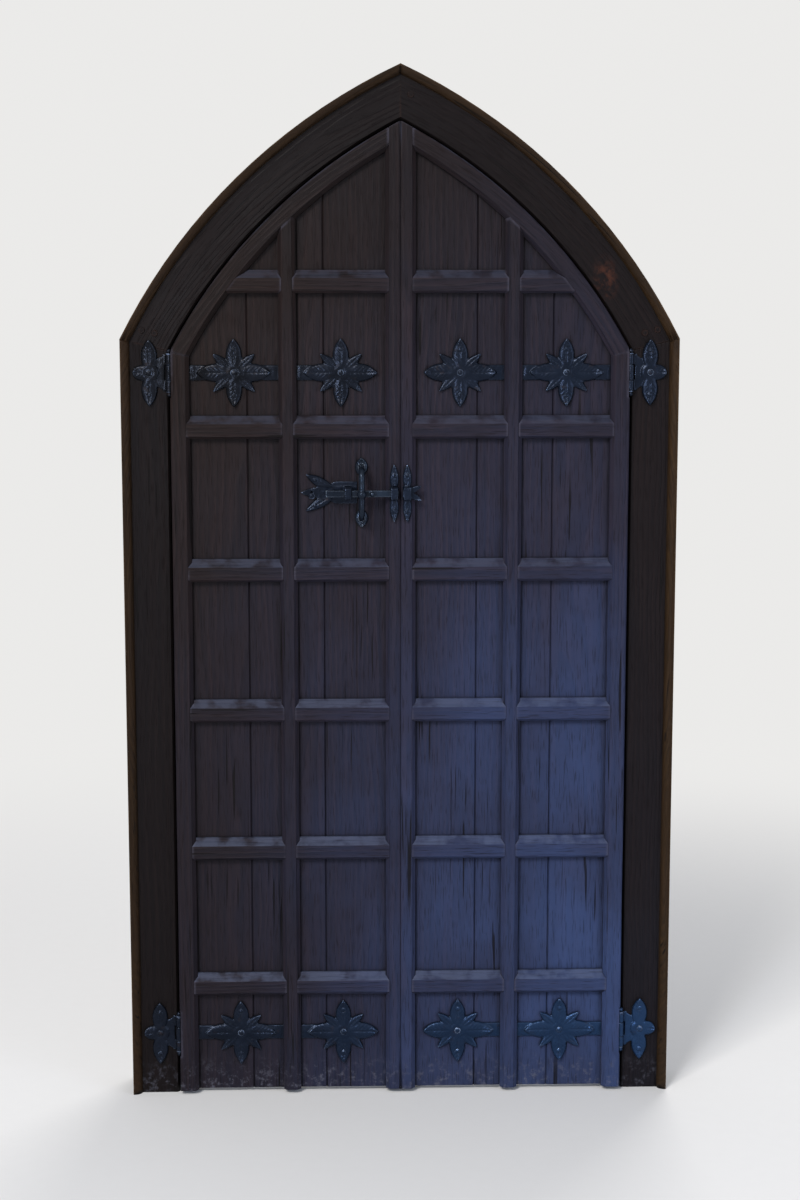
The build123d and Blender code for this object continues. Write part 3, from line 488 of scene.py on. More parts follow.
def oak(name, tones, sky_reflection_share, wear, roughness, dust_and_highlight=0.0, scuffs=0.0, rubbed=0.0):
    """Dark stained oak: grain along each timber, worn arrises, dirt in corners and fading."""
    material, s, surface = new_material(name)
    tones = OakTones(*(tone(text) for text in tones))
    where = s.where()
    figure = place_group(s, OAK_GRAIN, grain=s.attribute("grain", "Vector"))
    edges = place_group(s, EDGES_AND_HOLLOWS, break_up=16.0)

    colour = timber_colour(s, tones, figure, where, sky_reflection_share)
    patches = s.ramp(s.noise(where, scale=4.5, detail=5.0, rough=0.6), low=0.35, high=0.7)
    colour = s.blend_toward(colour, patches, share=0.35, towards=tones.body)
    colour = s.blend_toward(colour, edges["Edges"], wear, tones.worn)
    if rubbed:
        colour = rubbed_bare(s, colour, where, rubbed)
    if scuffs:
        colour = scuffed(s, colour, where, scuffs)
    # Painted shade in corners and hollows, from ambient occlusion.
    colour = s.blend_toward(colour, edges["Hollows"], share=0.7, towards=HOLLOW_SHADE)
    colour = s.blend_toward(colour, figure["Checks"], share=0.85, towards=CHECK_SHADOW)
    if dust_and_highlight:
        colour = dust_and_highlight_on_top(s, colour, where, dust_and_highlight)
    s.link(colour, surface.inputs["Base Color"])

    rough = s.plus(roughness, figure["Streaks"], share=0.14)
    rough = s.plus(rough, figure["Pores"], share=0.15)
    rough = s.plus(rough, patches, share=0.1)
    s.link(s.plus(rough, edges["Edges"], share=-0.1), surface.inputs["Roughness"])
    surface.inputs["Specular IOR Level"].default_value = 0.1

    uneven = s.long_noise(where, HAND_WORK_SCALES, detail=2.0)
    normal = s.bump(uneven, strength=0.35, distance=4 * MM)
    normal = s.bump(figure["Height"], strength=0.6, distance=1.2 * MM, normal=normal)
    s.link(normal, surface.inputs["Normal"])
    return material


# Iron finishes
# Painted bluish sky reflection on the iron
IRON_SKY_REFLECTION = tone("1c3352")
HAMMER_MARKS = 110.0
IRON_PITS = 480.0


def black_iron(name, dark, body, pale, rust, roughness):
    """Forged and blacked iron: hammer marks, bright edges that are partly painted glints, rust in
    patches, painted shade in hollows and the painted sky reflection of the wood.
    """
    material, s, surface = new_material(name)
    where = s.where()
    edges = place_group(s, EDGES_AND_HOLLOWS, reach=2.5 * MM, corner=8 * MM, break_up=45.0)
    cloud = s.noise(where, scale=22.0, detail=4.0)
    colour = s.mix(s.ramp(cloud, low=0.3, high=0.7), tone(dark), tone(body))
    # Painted sky reflection, the same as on the wood.
    painted_sky = place_group(s, PAINTED_SKY_REFLECTION, amount=0.95)
    colour = s.mix(painted_sky["Faded"], colour, IRON_SKY_REFLECTION)
    spots = s.ramp(s.noise(where, scale=60.0, detail=5.0, rough=0.65), low=0.56, high=0.72)
    colour = s.blend_toward(colour, spots, share=0.4, towards=tone(rust))
    # Bright worn edges, partly painted glints.
    colour = s.blend_toward(colour, edges["Edges"], share=0.9, towards=tone(pale))
    # Painted shade in the iron's hollows.
    colour = s.blend_toward(colour, edges["Hollows"], share=0.6, towards=tone(dark))
    s.link(colour, surface.inputs["Base Color"])
    surface.inputs["Metallic"].default_value = 0.6
    surface.inputs["Specular IOR Level"].default_value = 0.22
    rough = s.plus(roughness, cloud, share=0.2)
    s.link(s.plus(rough, spots, share=0.25), surface.inputs["Roughness"])

    hammer = s.node("ShaderNodeTexVoronoi", feature="SMOOTH_F1")
    s.feed(hammer.inputs["Vector"], where)
    hammer.inputs["Scale"].default_value = HAMMER_MARKS
    hammer.inputs["Smoothness"].default_value = 0.8
    pits = s.noise(where, IRON_PITS, detail=3.0)
    height = s.plus(hammer.outputs["Distance"], pits, share=0.25)
    s.link(s.bump(height, strength=0.45, distance=1.2 * MM), surface.inputs["Normal"])
    return material


# The last tone of each finish is its painted sky reflection.
LEAF_TONES = OakTones(deep="0b0706", body="1a1210", pale="281c19", worn="484652", sky_reflection="334369")
FRAME_TONES = OakTones(deep="060304", body="0e0809", pale="19100f", worn="33211a", sky_reflection="12141d")
BEAD_TONES = OakTones(deep="170e07", body="281b0f", pale="352513", worn="5c442c", sky_reflection="261d15")
LEAF_OAK = oak("Leaf oak", LEAF_TONES, sky_reflection_share=0.95, wear=0.36, roughness=0.46, dust_and_highlight=0.34, scuffs=0.6)
FRAME_OAK = oak(
    "Frame oak", FRAME_TONES, sky_reflection_share=0.5, wear=0.6, roughness=0.44, scuffs=0.4, rubbed=0.7
)
BEAD_OAK = oak("Bead oak", BEAD_TONES, sky_reflection_share=0.4, wear=0.7, roughness=0.44)
IRON = black_iron(
    "Black iron", dark="08090d", body="11141c", pale="7686a2", rust="20150f", roughness=0.18
)
HANDLED_IRON = black_iron(
    "Handled iron", dark="101318", body="1e252d", pale="8793a3", rust="211812", roughness=0.16
)


# Timber
TIMBER_STEP = 90 * MM
ARCH_START, ARCH_END, ARCH_CUTS = 24.0, 66.0, 24
WORN_ARRIS = 1.5 * MM
HAND_WORK = 0.7 * MM
HAND_WORK_WAVES = (14, 14, 9)
SHORTEST_WORN_EDGE = 7 * MM
SLIVER = 0.15 * MM
SHARP = math.radians(30)
SMOOTH_BELOW = math.radians(38)
IN_LINE = 0.98
MEETING_EDGE = 0.19 * MM
HALF_MEETING_GAP = 1.6 * MM
HEART_LIMITS = ((0, 20), (-0.12, 0.12), (0.05, 0.14))


class Straight(NamedTuple):
    """Grain that runs along one axis of a timber."""

    axis: int

    def point(self, place):
        return tuple(place[(self.axis + n) % 3] for n in range(3))

    def cuts(self, low, high):
        span = high[self.axis] - low[self.axis]
        count = max(2, round(span / TIMBER_STEP))
        normal = Vector([float(n == self.axis) for n in range(3)])
        return [(normal * (low[self.axis] + span * n / count), normal) for n in range(1, count)]


class Arched(NamedTuple):
    """Grain that follows the arch, on the right or mirrored to the left."""

    side: int

    def point(self, place):
        across, up = place.x * self.side + ARCH_SETBACK, place.z - ARCH_CENTRE_Z
        along = math.atan2(up, across) * (ARCH_SETBACK + FRAME_OUTER)
        return (along, math.hypot(across, up), place.y)

    def cuts(self, low, high):
        centre = Vector((-ARCH_SETBACK * self.side, 0, ARCH_CENTRE_Z))
        turn = ARCH_END - ARCH_START
        angles = [math.radians(ARCH_START + turn * n / ARCH_CUTS) for n in range(1, ARCH_CUTS)]
        return [(centre, Vector((-math.sin(a) * self.side, 0, math.cos(a)))) for a in angles]


ALONG_X, ALONG_Y, ALONG_Z = Straight(0), Straight(1), Straight(2)


def mark_grain(piece, grain):
    """Store where each point lies in its timber's grain, and one shade for the whole timber.

    Each timber has a heart of its own, so that no two show the same figure.
    """
    points = [Vector(grain.point(v.co)) for v in piece.data.vertices]
    middle = sum(points, Vector()) / len(points)
    heart = Vector([random.uniform(*limits) for limits in HEART_LIMITS])
    stored = piece.data.attributes.new("grain", "FLOAT_VECTOR", "POINT")
    for point, entry in zip(points, stored.data):
        entry.vector = point - Vector((0, middle.y, middle.z)) + heart
    shade = random.random()
    for entry in piece.data.attributes.new("timber", "FLOAT", "POINT").data:
        entry.value = shade


def cut_along(piece, grain):
    """Cut long faces into short ones, square to the grain."""
    low, high = Vector(piece.bound_box[0]), Vector(piece.bound_box[6])
    activate(piece)
    bpy.ops.object.mode_set(mode="EDIT")
    for point, normal in grain.cuts(low, high):
        bpy.ops.mesh.select_all(action="SELECT")
        bpy.ops.mesh.bisect(plane_co=point, plane_no=normal)
    bpy.ops.mesh.select_all(action="SELECT")
    bpy.ops.mesh.remove_doubles(threshold=SLIVER)
    bpy.ops.object.mode_set(mode="OBJECT")


def work_by_hand(piece, depth):
    """Pull the surface in by a fraction of a millimetre, unevenly, as planing by hand leaves it.

    The meeting edges are left straight, because the leaves close on them.
    """
    mesh = piece.data
    normals = [v.normal.copy() for v in mesh.vertices]
    for vertex, normal in zip(mesh.vertices, normals):
        if abs(vertex.co.x) > HALF_MEETING_GAP:
            place = Vector([value * wave for value, wave in zip(vertex.co, HAND_WORK_WAVES)])
            amount = 0.5 + 0.5 * noise.noise(place)
            vertex.co -= normal * depth * amount


def close_meeting_edge(piece):
    """Bring a meeting stile's edge up to the other leaf's, as a joiner shoots the pair together."""
    for vertex in piece.data.vertices:
        if abs(vertex.co.x) < HALF_MEETING_GAP:
            vertex.co.x = math.copysign(MEETING_EDGE, vertex.co.x)


def sharp_edges(mesh):
    """Each sharp edge with its direction and whether it is long."""
    faces_of_edge = {}
    for face in mesh.polygons:
        for key in face.edge_keys:
            faces_of_edge.setdefault(key, []).append(face.normal)
    found = []
    for edge in mesh.edges:
        faces = faces_of_edge.get(tuple(sorted(edge.vertices)), [])
        if len(faces) == 2 and faces[0].angle(faces[1], 0) >= SHARP:
            start, end = (mesh.vertices[v].co for v in edge.vertices)
            span = end - start
            found.append((edge, span.normalized(), span.length >= SHORTEST_WORN_EDGE))
    return found


def edges_to_wear(mesh):
    """The long sharp edges, and the short ones that carry on in line with a long one."""
    sharp = sharp_edges(mesh)
    lines_at = {}
    for edge, line, is_long in sharp:
        if is_long:
            for corner in edge.vertices:
                lines_at.setdefault(corner, []).append(line)
    worn = []
    for edge, line, is_long in sharp:
        beside = [other for corner in edge.vertices for other in lines_at.get(corner, [])]
        if is_long or any(abs(line.dot(other)) > IN_LINE for other in beside):
            worn.append(edge.index)
    return worn


def wear_arrises(piece, width):
    """Round the long sharp edges, leaving nail holes and short scribed ends alone."""
    weights = piece.data.attributes.new("bevel_weight_edge", "FLOAT", "EDGE")
    for index in edges_to_wear(piece.data):
        weights.data[index].value = 1.0
    bevel = piece.modifiers.new("Worn arris", "BEVEL")
    bevel.width = width
    bevel.segments = 2
    bevel.limit_method = "WEIGHT"
    apply_modifiers(piece)
    bpy.ops.object.shade_smooth_by_angle(angle=SMOOTH_BELOW)
    flat = piece.modifiers.new("Flat faces", "WEIGHTED_NORMAL")
    flat.keep_sharp = True
    apply_modifiers(piece)


def dress_timber(name, grain, material, hand_work=HAND_WORK):
    """Stand a worn copy in for a timber: worked by hand, its arrises rounded, its grain marked."""
    piece = copy_of_node(name, name + "_oak")
    cut_along(piece, grain)
    if name.startswith("stile_meeting"):
        close_meeting_edge(piece)
    if hand_work:
        work_by_hand(piece, hand_work)
    wear_arrises(piece, WORN_ARRIS)
    mark_grain(piece, grain)
    stand_in(piece, name, material)


def dress_timbers():
    for side, sign in SIDES.items():
        dress_timber(f"jamb_{side}", ALONG_Z, FRAME_OAK)
        dress_timber(f"head_{side}", Arched(sign), FRAME_OAK)
        dress_timber(f"bead_{side}", Arched(sign), BEAD_OAK, 0)
        dress_timber(f"rim_{side}", Arched(sign), LEAF_OAK)
        dress_timber(f"ledges_{side}", ALONG_X, LEAF_OAK)
        for name in ("stile_meeting", "stile_outer", "muntin"):
            dress_timber(f"{name}_{side}", ALONG_Z, LEAF_OAK)
        for number in (1, 2, 3):
            dress_timber(f"board_{side}_{number}", ALONG_Z, LEAF_OAK, 0)
        for number in range(1, 7):
            dress_timber(f"rail_{side}_{number}", ALONG_X, LEAF_OAK)
    pegs = copy_of_node("frame_pegs", "frame_pegs_oak")
    mark_grain(pegs, ALONG_Y)
    stand_in(pegs, "frame_pegs", FRAME_OAK)


# Forged ironwork
class Leaf(NamedTuple):
    """A forged leaf that lies from a point along an angle, on the face of its plate."""

    x: float
    z: float
    angle: float
    length: float
    width: float


class Boss(NamedTuple):
    """A round raised centre where leaves meet."""

    x: float
    z: float
    radius: float


class Band(NamedTuple):
    """A straight run of strap between two places along X."""

    start: float
    end: float
    z: float
    half: float


VOXEL = 1.5 * MM
PLATE = 4 * MM
RELIEF_REACH = 1.3 * PLATE
WIDEST_LEAF = 36 * MM
LEAF_DOME, LEAST_DOME = 3.4 * MM, 0.45
LEAF_RIM = 0.9 * MM
LEAF_ROOT = (0.0, 0.15)
VEIN_DEPTH, VEIN_WIDTH = 1.3 * MM, 1.3 * MM
VEIN_START = (0.2, 0.4)
SIDE_VEIN_DEPTH, SIDE_VEIN_SPACING, SIDE_VEIN_SLANT = 0.45 * MM, 8.5 * MM, 1.1
SIDE_VEIN_START = (0.25, 0.45)
TIP_CURL = 3.6 * MM
CURLED_TIP = (0.62, 1.0)
BOSS_DOME = 3.6 * MM
BOSS_RING, BOSS_RING_TURN = 0.15, 9
BAND_DOME = 1.1 * MM
BAND_SIDE = 1.05
RUN_OUT = 4 * MM
HAMMERED, SLIDING_HAMMERED = 0.35 * MM, 0.1 * MM
HAMMERED_WAVES = 85
BED_HALF = 11 * MM


def smooth(value, low, high):
    share = np.clip((value - low) / (high - low), 0, 1)
    return share * share * (3 - 2 * share)


def leaf_relief(leaf, x, z):
    """How far each place on a leaf stands out of its plate, and how far its tip curls up."""
    turn = math.radians(leaf.angle)
    along = (x - leaf.x) * math.cos(turn) + (z - leaf.z) * math.sin(turn)
    across = np.abs((z - leaf.z) * math.cos(turn) - (x - leaf.x) * math.sin(turn))
    radius = (leaf.length**2 + leaf.width**2) / (4 * leaf.width)
    reach = np.sqrt(np.maximum(radius**2 - (along - leaf.length / 2) ** 2, 0))
    bow = reach - (radius - leaf.width / 2)
    inside = (along > 0) & (along < leaf.length) & (across < bow)
    edge = np.where(inside, across / np.maximum(bow, MM / 10), 1.0)
    share = along / leaf.length
    size = leaf.width / WIDEST_LEAF

    round_top = LEAF_DOME * (LEAST_DOME + (1 - LEAST_DOME) * size)
    dome = round_top * np.sqrt(np.maximum(1 - edge**2, 0)) - LEAF_RIM * edge**6
    vein = VEIN_DEPTH * np.exp(-((across / VEIN_WIDTH) ** 2))
    vein = vein * smooth(share, *VEIN_START) * (1 - edge)
    slant = (along - across * SIDE_VEIN_SLANT) * 2 * math.pi / SIDE_VEIN_SPACING
    ribs = SIDE_VEIN_DEPTH * size * np.cos(slant) * (1 - edge) * smooth(edge, 0.0, 0.25)
    ribs = ribs * smooth(share, *SIDE_VEIN_START)
    lift = (dome - vein + ribs) * smooth(share, *LEAF_ROOT)
    curl = TIP_CURL * size * smooth(share, *CURLED_TIP) ** 2
    return np.where(inside, lift, -LEAF_RIM), np.where(inside, curl, 0.0)


def relief(leaves, bosses, bands, x, z):
    """The highest of all leaves, bosses and bands at each place, and the curl of the leaf tips."""
    lift, curl = np.full_like(x, -LEAF_RIM), np.zeros_like(x)
    for leaf in leaves:
        one_lift, one_curl = leaf_relief(leaf, x, z)
        lift, curl = np.maximum(lift, one_lift), np.maximum(curl, one_curl)
    for boss in bosses:
        away = np.hypot(x - boss.x, z - boss.z) / boss.radius
        ring = 1 + BOSS_RING * np.cos(away * BOSS_RING_TURN)
        round_top = BOSS_DOME * np.sqrt(np.maximum(1 - away**2, 0)) * ring
        lift = np.where(away < 1, np.maximum(lift, round_top), lift)
    for band in bands:
        edge = np.abs(z - band.z) / band.half
        held = smooth(x, band.start, band.start + RUN_OUT) * smooth(x, band.end, band.end - RUN_OUT)
        inside = (x > band.start) & (x < band.end) & (edge < 1)
        lift = np.where(inside, np.maximum(lift, BAND_DOME * (1 - edge**2) * held), lift)
        off = (edge < BAND_SIDE) & ((x < band.start) | (x > band.end))
        lift = np.where(off & (lift < 0), 0.0, lift)
    return lift, curl


def read_points(mesh, what="co"):
    flat = np.empty(len(mesh.vertices) * 3)
    mesh.vertices.foreach_get(what, flat)
    return flat.reshape(-1, 3)


def even_and_soften(piece, voxel):
    """Give a piece an even mesh with its edges softened."""
    remesh = piece.modifiers.new("Even mesh", "REMESH")
    remesh.mode = "VOXEL"
    remesh.voxel_size = voxel
    apply_modifiers(piece)
    soften = piece.modifiers.new("Soft edges", "SMOOTH")
    soften.factor = 0.5
    soften.iterations = 2
    apply_modifiers(piece)


def forge(name, seat, outward, leaves, bosses=(), bands=(), voxel=VOXEL, bed=None, slim=0.0):
    """Beat out a copy of an iron node: domed, veined leaves with curled tips and no sharp edge.

    A bed is a height along which nothing is raised, because another piece slides there, and
    slim is how much a piece is drawn in so that it slides.
    """
    piece = copy_of_node(name, name + "_forged")
    even_and_soften(piece, voxel)
    mesh = piece.data
    places = read_points(mesh) - slim * read_points(mesh, "normal")
    depth = (places[:, 1] - seat) * outward
    lift, curl = relief(leaves, bosses, bands, places[:, 0], places[:, 2])
    if bed is not None:
        lift *= smooth(np.abs(places[:, 2] - bed), BED_HALF, BED_HALF + RUN_OUT)
    on_plate = (depth < RELIEF_REACH) & (depth > -MM)
    share = np.clip(depth / PLATE, 0, 1)
    places[:, 1] += outward * np.where(on_plate, share * lift + curl, 0)
    rough = np.array([noise.noise(Vector(p) * HAMMERED_WAVES) for p in places])
    hammered = HAMMERED if bed is None else SLIDING_HAMMERED
    places[:, 1] += outward * rough * hammered * share
    mesh.vertices.foreach_set("co", places.ravel())
    mesh.update()
    activate(piece)
    bpy.ops.object.shade_smooth()
    return piece


# Length and width of each kind of leaf, and how far some are turned from their arm
UPRIGHT_LEAF = (68 * MM, 32 * MM)
ARM_LEAF = (73 * MM, 36 * MM)
SMALL_LEAF, SMALL_LEAF_TILT = (56 * MM, 19 * MM), 42
JAMB_LEAF, JAMB_SIDE_LEAF = (66 * MM, 32 * MM), (33 * MM, 30 * MM)
PRONG, PRONG_TILT = (74 * MM, 21 * MM), 30
STILE_LEAF = (58 * MM, 18 * MM)
FISHTAIL, FISHTAIL_TILT = (32 * MM, 11 * MM), 27
FOOT_LEAF = (38 * MM, 26 * MM)
BOSS_RADIUS = 19 * MM

# Where the leaves and bands of the hinges are
PANEL_CENTRES = (118.5 * MM, 330.5 * MM)
STRAP_HALF = 15 * MM
BAND_GAP = 3 * MM
MUNTIN_EDGES = tuple(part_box("muntin_right")[n].x for n in (0, 1))
OUTER_STILE_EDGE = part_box("stile_outer_right")[0].x
JAMB_PLATE_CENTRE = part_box("hinge_plate_lower_right")[1].x - 33 * MM


def two_upright(x, z, size):
    """A leaf above a place and one below it."""
    return [Leaf(x, z, angle, *size) for angle in (90, -90)]


def cross_leaves(x, z):
    """A leaf above and below, one along each arm and four small ones between."""
    arms = [Leaf(x, z, angle, *ARM_LEAF) for angle in (0, 180)]
    tilts = (SMALL_LEAF_TILT, -SMALL_LEAF_TILT)
    small = [Leaf(x, z, side + tilt, *SMALL_LEAF) for side in (0, 180) for tilt in tilts]
    return two_upright(x, z, UPRIGHT_LEAF) + arms + small


def placed_copy(piece, name, sign, rise):
    """Copy of a forged piece, mirrored for the left side and raised to its height."""
    copy = new_object(name, piece.data.copy())
    copy.data.transform(Matrix.Translation((0, 0, rise)) @ Matrix.Diagonal((sign, 1, 1, 1)))
    if sign < 0:
        copy.data.flip_normals()
    return copy


def strap_relief_parts(z):
    leaves = [leaf for x in PANEL_CENTRES for leaf in cross_leaves(x, z)]
    bosses = [Boss(x, z, BOSS_RADIUS) for x in PANEL_CENTRES]
    bands = [
        Band(PANEL_CENTRES[0], MUNTIN_EDGES[0] - BAND_GAP, z, STRAP_HALF),
        Band(MUNTIN_EDGES[1] + BAND_GAP, OUTER_STILE_EDGE - BAND_GAP, z, STRAP_HALF),
    ]
    return leaves, bosses, bands


def jamb_plate_relief_parts(z):
    x = JAMB_PLATE_CENTRE
    leaves = two_upright(x, z, JAMB_LEAF) + [Leaf(x, z, 0, *JAMB_SIDE_LEAF)]
    return leaves, [Boss(x, z, BOSS_RADIUS)], []


def forge_hinges():
    """Straps and jamb plates, each beaten out once and copied to its place."""
    for kind, parts in (("strap", strap_relief_parts), ("hinge_plate", jamb_plate_relief_parts)):
        first_name = f"{kind}_lower_right"
        first = forge(first_name, BOARD_FACE, -1, *parts(HINGE_HEIGHT["lower"]))
        for side, sign in SIDES.items():
            for level in HINGES:
                name = f"{kind}_{level}_{side}"
                piece = first
                if name != first_name:
                    rise = HINGE_HEIGHT[level] - HINGE_HEIGHT["lower"]
                    piece = placed_copy(first, name + "_forged", sign, rise)
                stand_in(piece, name, IRON)


STAPLE_CENTRE = node_middle("latch_staple").x
KEEPER_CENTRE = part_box("keeper")[0].x + 9 * MM
PRONG_ROOT = -126 * MM
FINE_VOXEL = 1.1 * MM
SLIDING_GAP = 0.5 * MM


def latch_plate_leaves():
    turns = (180 - PRONG_TILT, 180, 180 + PRONG_TILT)
    return [Leaf(PRONG_ROOT, LATCH_HEIGHT, angle, *PRONG) for angle in turns]


def fishtail_leaves():
    turns = (-FISHTAIL_TILT, FISHTAIL_TILT)
    return [Leaf(KEEPER_CENTRE, LATCH_HEIGHT, angle, *FISHTAIL) for angle in turns]


def stile_plate_leaves(x):
    return two_upright(x, LATCH_HEIGHT, STILE_LEAF)


def foot_leaves(name):
    """The two leaf-shaped feet of a bow pull, which point away from its grip."""
    low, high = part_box(name)
    x = (low.x + high.x) / 2
    length = FOOT_LEAF[0]
    return [Leaf(x, high.z - length, 90, *FOOT_LEAF), Leaf(x, low.z + length, -90, *FOOT_LEAF)]


def forge_latch():
    """Latch, keeper and pulls, each beaten out on its own seat."""
    seats = (
        ("latch_plate", BOARD_FACE, -1, latch_plate_leaves()),
        ("latch_staple", RIB_FACE, -1, stile_plate_leaves(STAPLE_CENTRE)),
        ("keeper", RIB_FACE, -1, stile_plate_leaves(KEEPER_CENTRE) + fishtail_leaves()),
        ("latch_bar", RIB_FACE, -1, []),
        ("pull_face", BOARD_FACE, -1, foot_leaves("pull_face")),
        ("pull_back", 0.0, 1, foot_leaves("pull_back")),
    )
    for name, seat, outward, leaves in seats:
        finish = HANDLED_IRON if name.startswith(("pull", "latch_bar")) else IRON
        bed = None if name.startswith("pull") else LATCH_HEIGHT
        slim = SLIDING_GAP if name == "latch_bar" else 0.0
        piece = forge(name, seat, outward, leaves, voxel=FINE_VOXEL, bed=bed, slim=slim)
        stand_in(piece, name, finish)


# Rose-headed nails
NAIL_FACETS = 8
NAIL_HEAD_RADIUS = 7 * MM
NAIL_RIM = 1.2 * MM
ROSE_STEPS = ((1.6 * MM, 1.2 * MM), (1.9 * MM, 1.0 * MM), (2.0 * MM, 0.5 * MM))
NAIL_SINK = 0.6 * MM
# Corners closer than this belong to one nail
NAIL_WIDTH = 19.2 * MM
NAIL_SIZES = (0.9, 1.0)
NAIL_UNEVEN, NAIL_UNEVEN_WAVES = 0.6, 150


def rose_nail():
    """Head of a nail, beaten to a few facets, at the origin and facing -Y."""
    deselect_all()
    bpy.ops.mesh.primitive_cylinder_add(
        vertices=NAIL_FACETS, radius=NAIL_HEAD_RADIUS, depth=NAIL_RIM
    )
    nail = bpy.context.active_object
    bpy.ops.object.mode_set(mode="EDIT")
    bpy.ops.mesh.select_mode(type="FACE")
    bpy.ops.mesh.select_all(action="DESELECT")
    bpy.ops.object.mode_set(mode="OBJECT")
    for face in nail.data.polygons:
        face.select = face.normal.z > 0.9
    bpy.ops.object.mode_set(mode="EDIT")
    for inward, outward in ROSE_STEPS:
        bpy.ops.mesh.inset(thickness=inward)
        bpy.ops.transform.translate(value=(0, 0, outward))
    bpy.ops.object.mode_set(mode="OBJECT")
    nail.data.transform(Matrix.Rotation(math.radians(90), 4, "X"))
    return nail


def nail_places(name):
    """Where each nail of a node is driven, and how far out its head's top is."""
    corners = sorted({tuple(round(c, 5) for c in v.co) for v in nodes[name].data.vertices})
    clusters = []
    for corner in corners:
        for cluster in clusters:
            first = cluster[0]
            if math.hypot(corner[0] - first[0], corner[2] - first[2]) < NAIL_WIDTH:
                cluster.append(corner)
                break
        else:
            clusters.append([corner])
    places = []
    for cluster in clusters:
        xs, ys, zs = zip(*cluster)
        places.append(((min(xs) + max(xs)) / 2, (min(zs) + max(zs)) / 2, min(ys)))
    return places


def height_over_plate(parts, x, z):
    """How far the relief of all the given parts stands out at one place."""
    height = 0.0
    for leaves, bosses, bands in parts:
        lift, curl = relief(leaves, bosses, bands, np.array([x]), np.array([z]))
        height = max(height, lift[0] + curl[0])
    return height


def place_nails(name, parts):
    """Drive a beaten copy of the nail at each place, seated on the relief of its leaf."""
    first = rose_nail()
    nails = []
    for x, z, tip in nail_places(name):
        seat = RIB_FACE if tip < RIB_FACE - PLATE else BOARD_FACE
        y = seat - PLATE - height_over_plate(parts, x, z) + NAIL_SINK
        copy = new_object("nail", first.data.copy())
        turn = Matrix.Rotation(random.uniform(0, math.tau), 4, "Y")
        size = Matrix.Scale(random.uniform(*NAIL_SIZES), 4)
        copy.data.transform(Matrix.Translation((x, y, z)) @ turn @ size)
        for vertex in copy.data.vertices:
            uneven = noise.noise_vector(vertex.co * NAIL_UNEVEN_WAVES)
            vertex.co += uneven * NAIL_UNEVEN * MM
        nails.append(copy)
    bpy.data.objects.remove(first)
    stand_in(join(nails, name + "_rose"), name, IRON)


def mirrored_parts(parts):
    """Leaves and bosses carried over to the left side."""
    leaves, bosses, _ = parts
    leaves = [leaf._replace(x=-leaf.x, angle=180 - leaf.angle) for leaf in leaves]
    return leaves, [boss._replace(x=-boss.x) for boss in bosses], []


def place_all_nails():
    straps = [strap_relief_parts(z) for z in HINGE_HEIGHT.values()]
    plates = [jamb_plate_relief_parts(z) for z in HINGE_HEIGHT.values()]
    latch = [(latch_plate_leaves() + stile_plate_leaves(STAPLE_CENTRE), [], [])]
    keeper = [(stile_plate_leaves(KEEPER_CENTRE), [], [])]
    place_nails("nails_jamb", plates + [mirrored_parts(p) for p in plates])
    place_nails("nails_left", [mirrored_parts(p) for p in straps] + latch)
    place_nails("nails_right", straps + keeper)


# Iron that keeps its own solids
def finish_iron_nodes():
    for name in ("hinge_pins", "bolt_top", "bolt_bottom", "bolt_barrels"):
        for slot in nodes[name].material_slots:
            slot.material = IRON


# Studio
BACKGROUND = (0.83, 0.825, 0.815, 1)
SKY = (0.86, 0.9, 1.0, 1)
SKY_STRENGTH = 0.35
FLOOR_TONES = (0.77, 0.765, 0.755, 1), (0.79, 0.785, 0.775, 1)
FLOOR_RADIUS = 40
FLOOR_FADES = (1.3, 3.4)
CAMERA_PLACE, CAMERA_AIM = Vector((-0.13, -4.42, 1.70)), Vector((0, 0, 1.03))
CAMERA_LENS = 66.0
LAMP_AIM = Vector((0, 0, FRAME_TOP / 2))


def make_floor():
    """A pale floor that goes over into the background away from the door."""
    bpy.ops.mesh.primitive_circle_add(
        vertices=96, radius=FLOOR_RADIUS, fill_type="NGON", location=(0, 0, 0)
    )
    floor = bpy.context.active_object
    floor.name = "floor"
    material, s, surface = new_material("Pale floor")
    where = s.where()
    grain = s.noise(where, scale=35.0, detail=4.0)
    s.link(s.mix(grain, *FLOOR_TONES), surface.inputs["Base Color"])
    surface.inputs["Roughness"].default_value = 0.75
    surface.inputs["Specular IOR Level"].default_value = 0.2
    far = s.ramp(s.length(where), *FLOOR_FADES)
    glow = s.node("ShaderNodeEmission")
    glow.inputs["Color"].default_value = BACKGROUND
    blend = s.node("ShaderNodeMixShader")
    s.link(s.times(far, s.sees_background()), blend.inputs[0])
    s.link(surface.outputs[0], blend.inputs[1])
    s.link(glow.outputs[0], blend.inputs[2])
    s.link(blend.outputs[0], material.node_tree.nodes["Material Output"].inputs["Surface"])
    floor.data.materials.append(material)


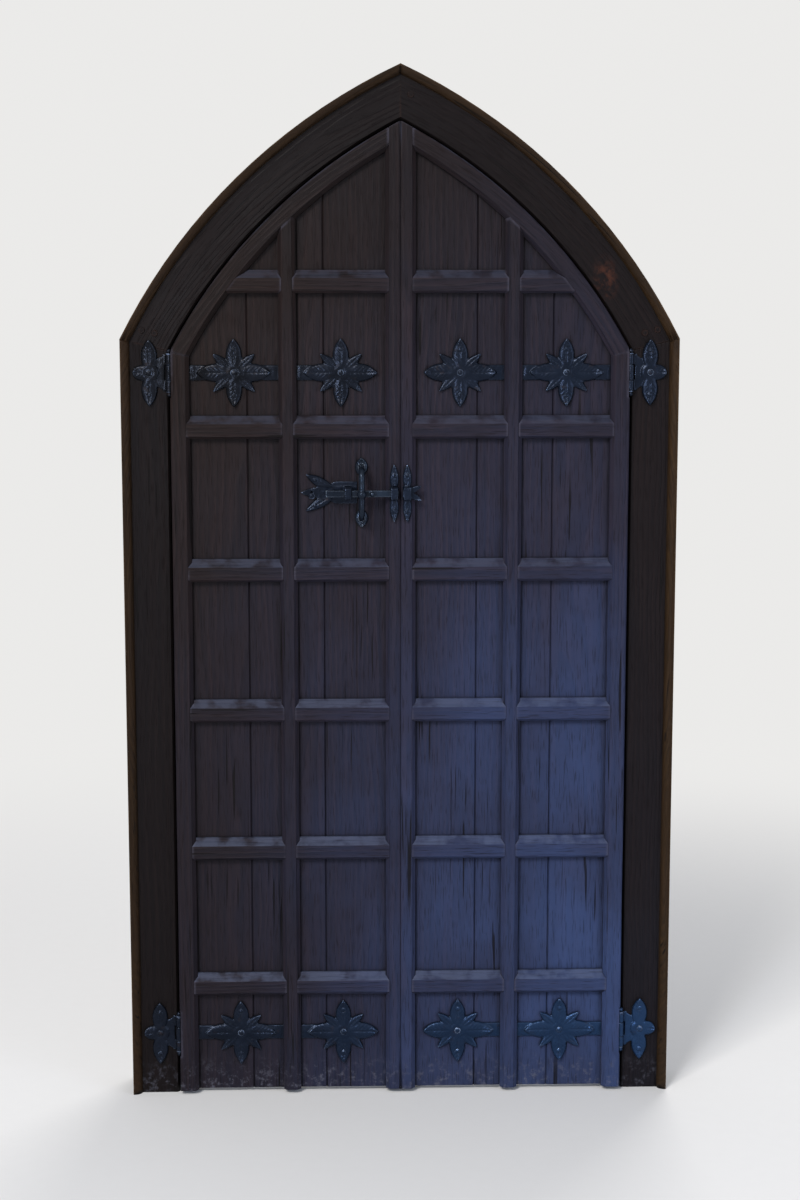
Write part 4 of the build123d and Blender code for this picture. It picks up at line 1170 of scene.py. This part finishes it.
def make_world():
    """A dim sky that lights the door, and the pale background that is seen in its place."""
    world = bpy.data.worlds.new("Studio")
    world.use_nodes = True
    bpy.context.scene.world = world
    s = Shader(world.node_tree)
    light = world.node_tree.nodes["Background"]
    light.inputs["Color"].default_value = SKY
    light.inputs["Strength"].default_value = SKY_STRENGTH
    seen = s.node("ShaderNodeBackground")
    seen.inputs["Color"].default_value = BACKGROUND
    blend = s.node("ShaderNodeMixShader")
    s.link(s.sees_background(), blend.inputs[0])
    s.link(light.outputs[0], blend.inputs[1])
    s.link(seen.outputs[0], blend.inputs[2])
    s.link(blend.outputs[0], world.node_tree.nodes["World Output"].inputs["Surface"])


def aim(holder, target):
    """Point a lamp or a camera at a place."""
    holder.rotation_euler = (target - holder.location).to_track_quat("-Z", "Y").to_euler()


def add_lamp(name, place, size, power, colour):
    lamp = bpy.data.lights.new(name, "AREA")
    lamp.shape = "RECTANGLE"
    lamp.size, lamp.size_y = size
    lamp.energy = power
    lamp.color = colour
    holder = new_object(name, lamp)
    holder.location = place
    aim(holder, LAMP_AIM)


def make_lamps():
    add_lamp("key", (-3.0, -6.1, 5.8), size=(2.8, 2.4), power=577, colour=(1.0, 0.97, 0.93))
    add_lamp("sky", (3.8, -3.6, 1.6), size=(2.4, 2.4), power=54, colour=(0.7, 0.8, 1.0))
    add_lamp("glint", (-2.0, -5.4, 1.6), size=(0.45, 0.45), power=85, colour=(0.72, 0.82, 1.0))
    add_lamp("back", (2.2, 6.2, 4.6), size=(4.0, 4.0), power=279, colour=(1.0, 0.98, 0.95))


def make_camera():
    camera = bpy.data.cameras.new("camera")
    camera.sensor_width = 36.0
    camera.lens = CAMERA_LENS
    camera.clip_end = 200
    holder = new_object("camera", camera)
    holder.location = CAMERA_PLACE
    aim(holder, CAMERA_AIM)
    bpy.context.scene.camera = holder


dress_timbers()
forge_hinges()
forge_latch()
place_all_nails()
finish_iron_nodes()
make_floor()
make_world()
make_lamps()
make_camera()
bpy.context.scene.view_settings.view_transform = "Standard"
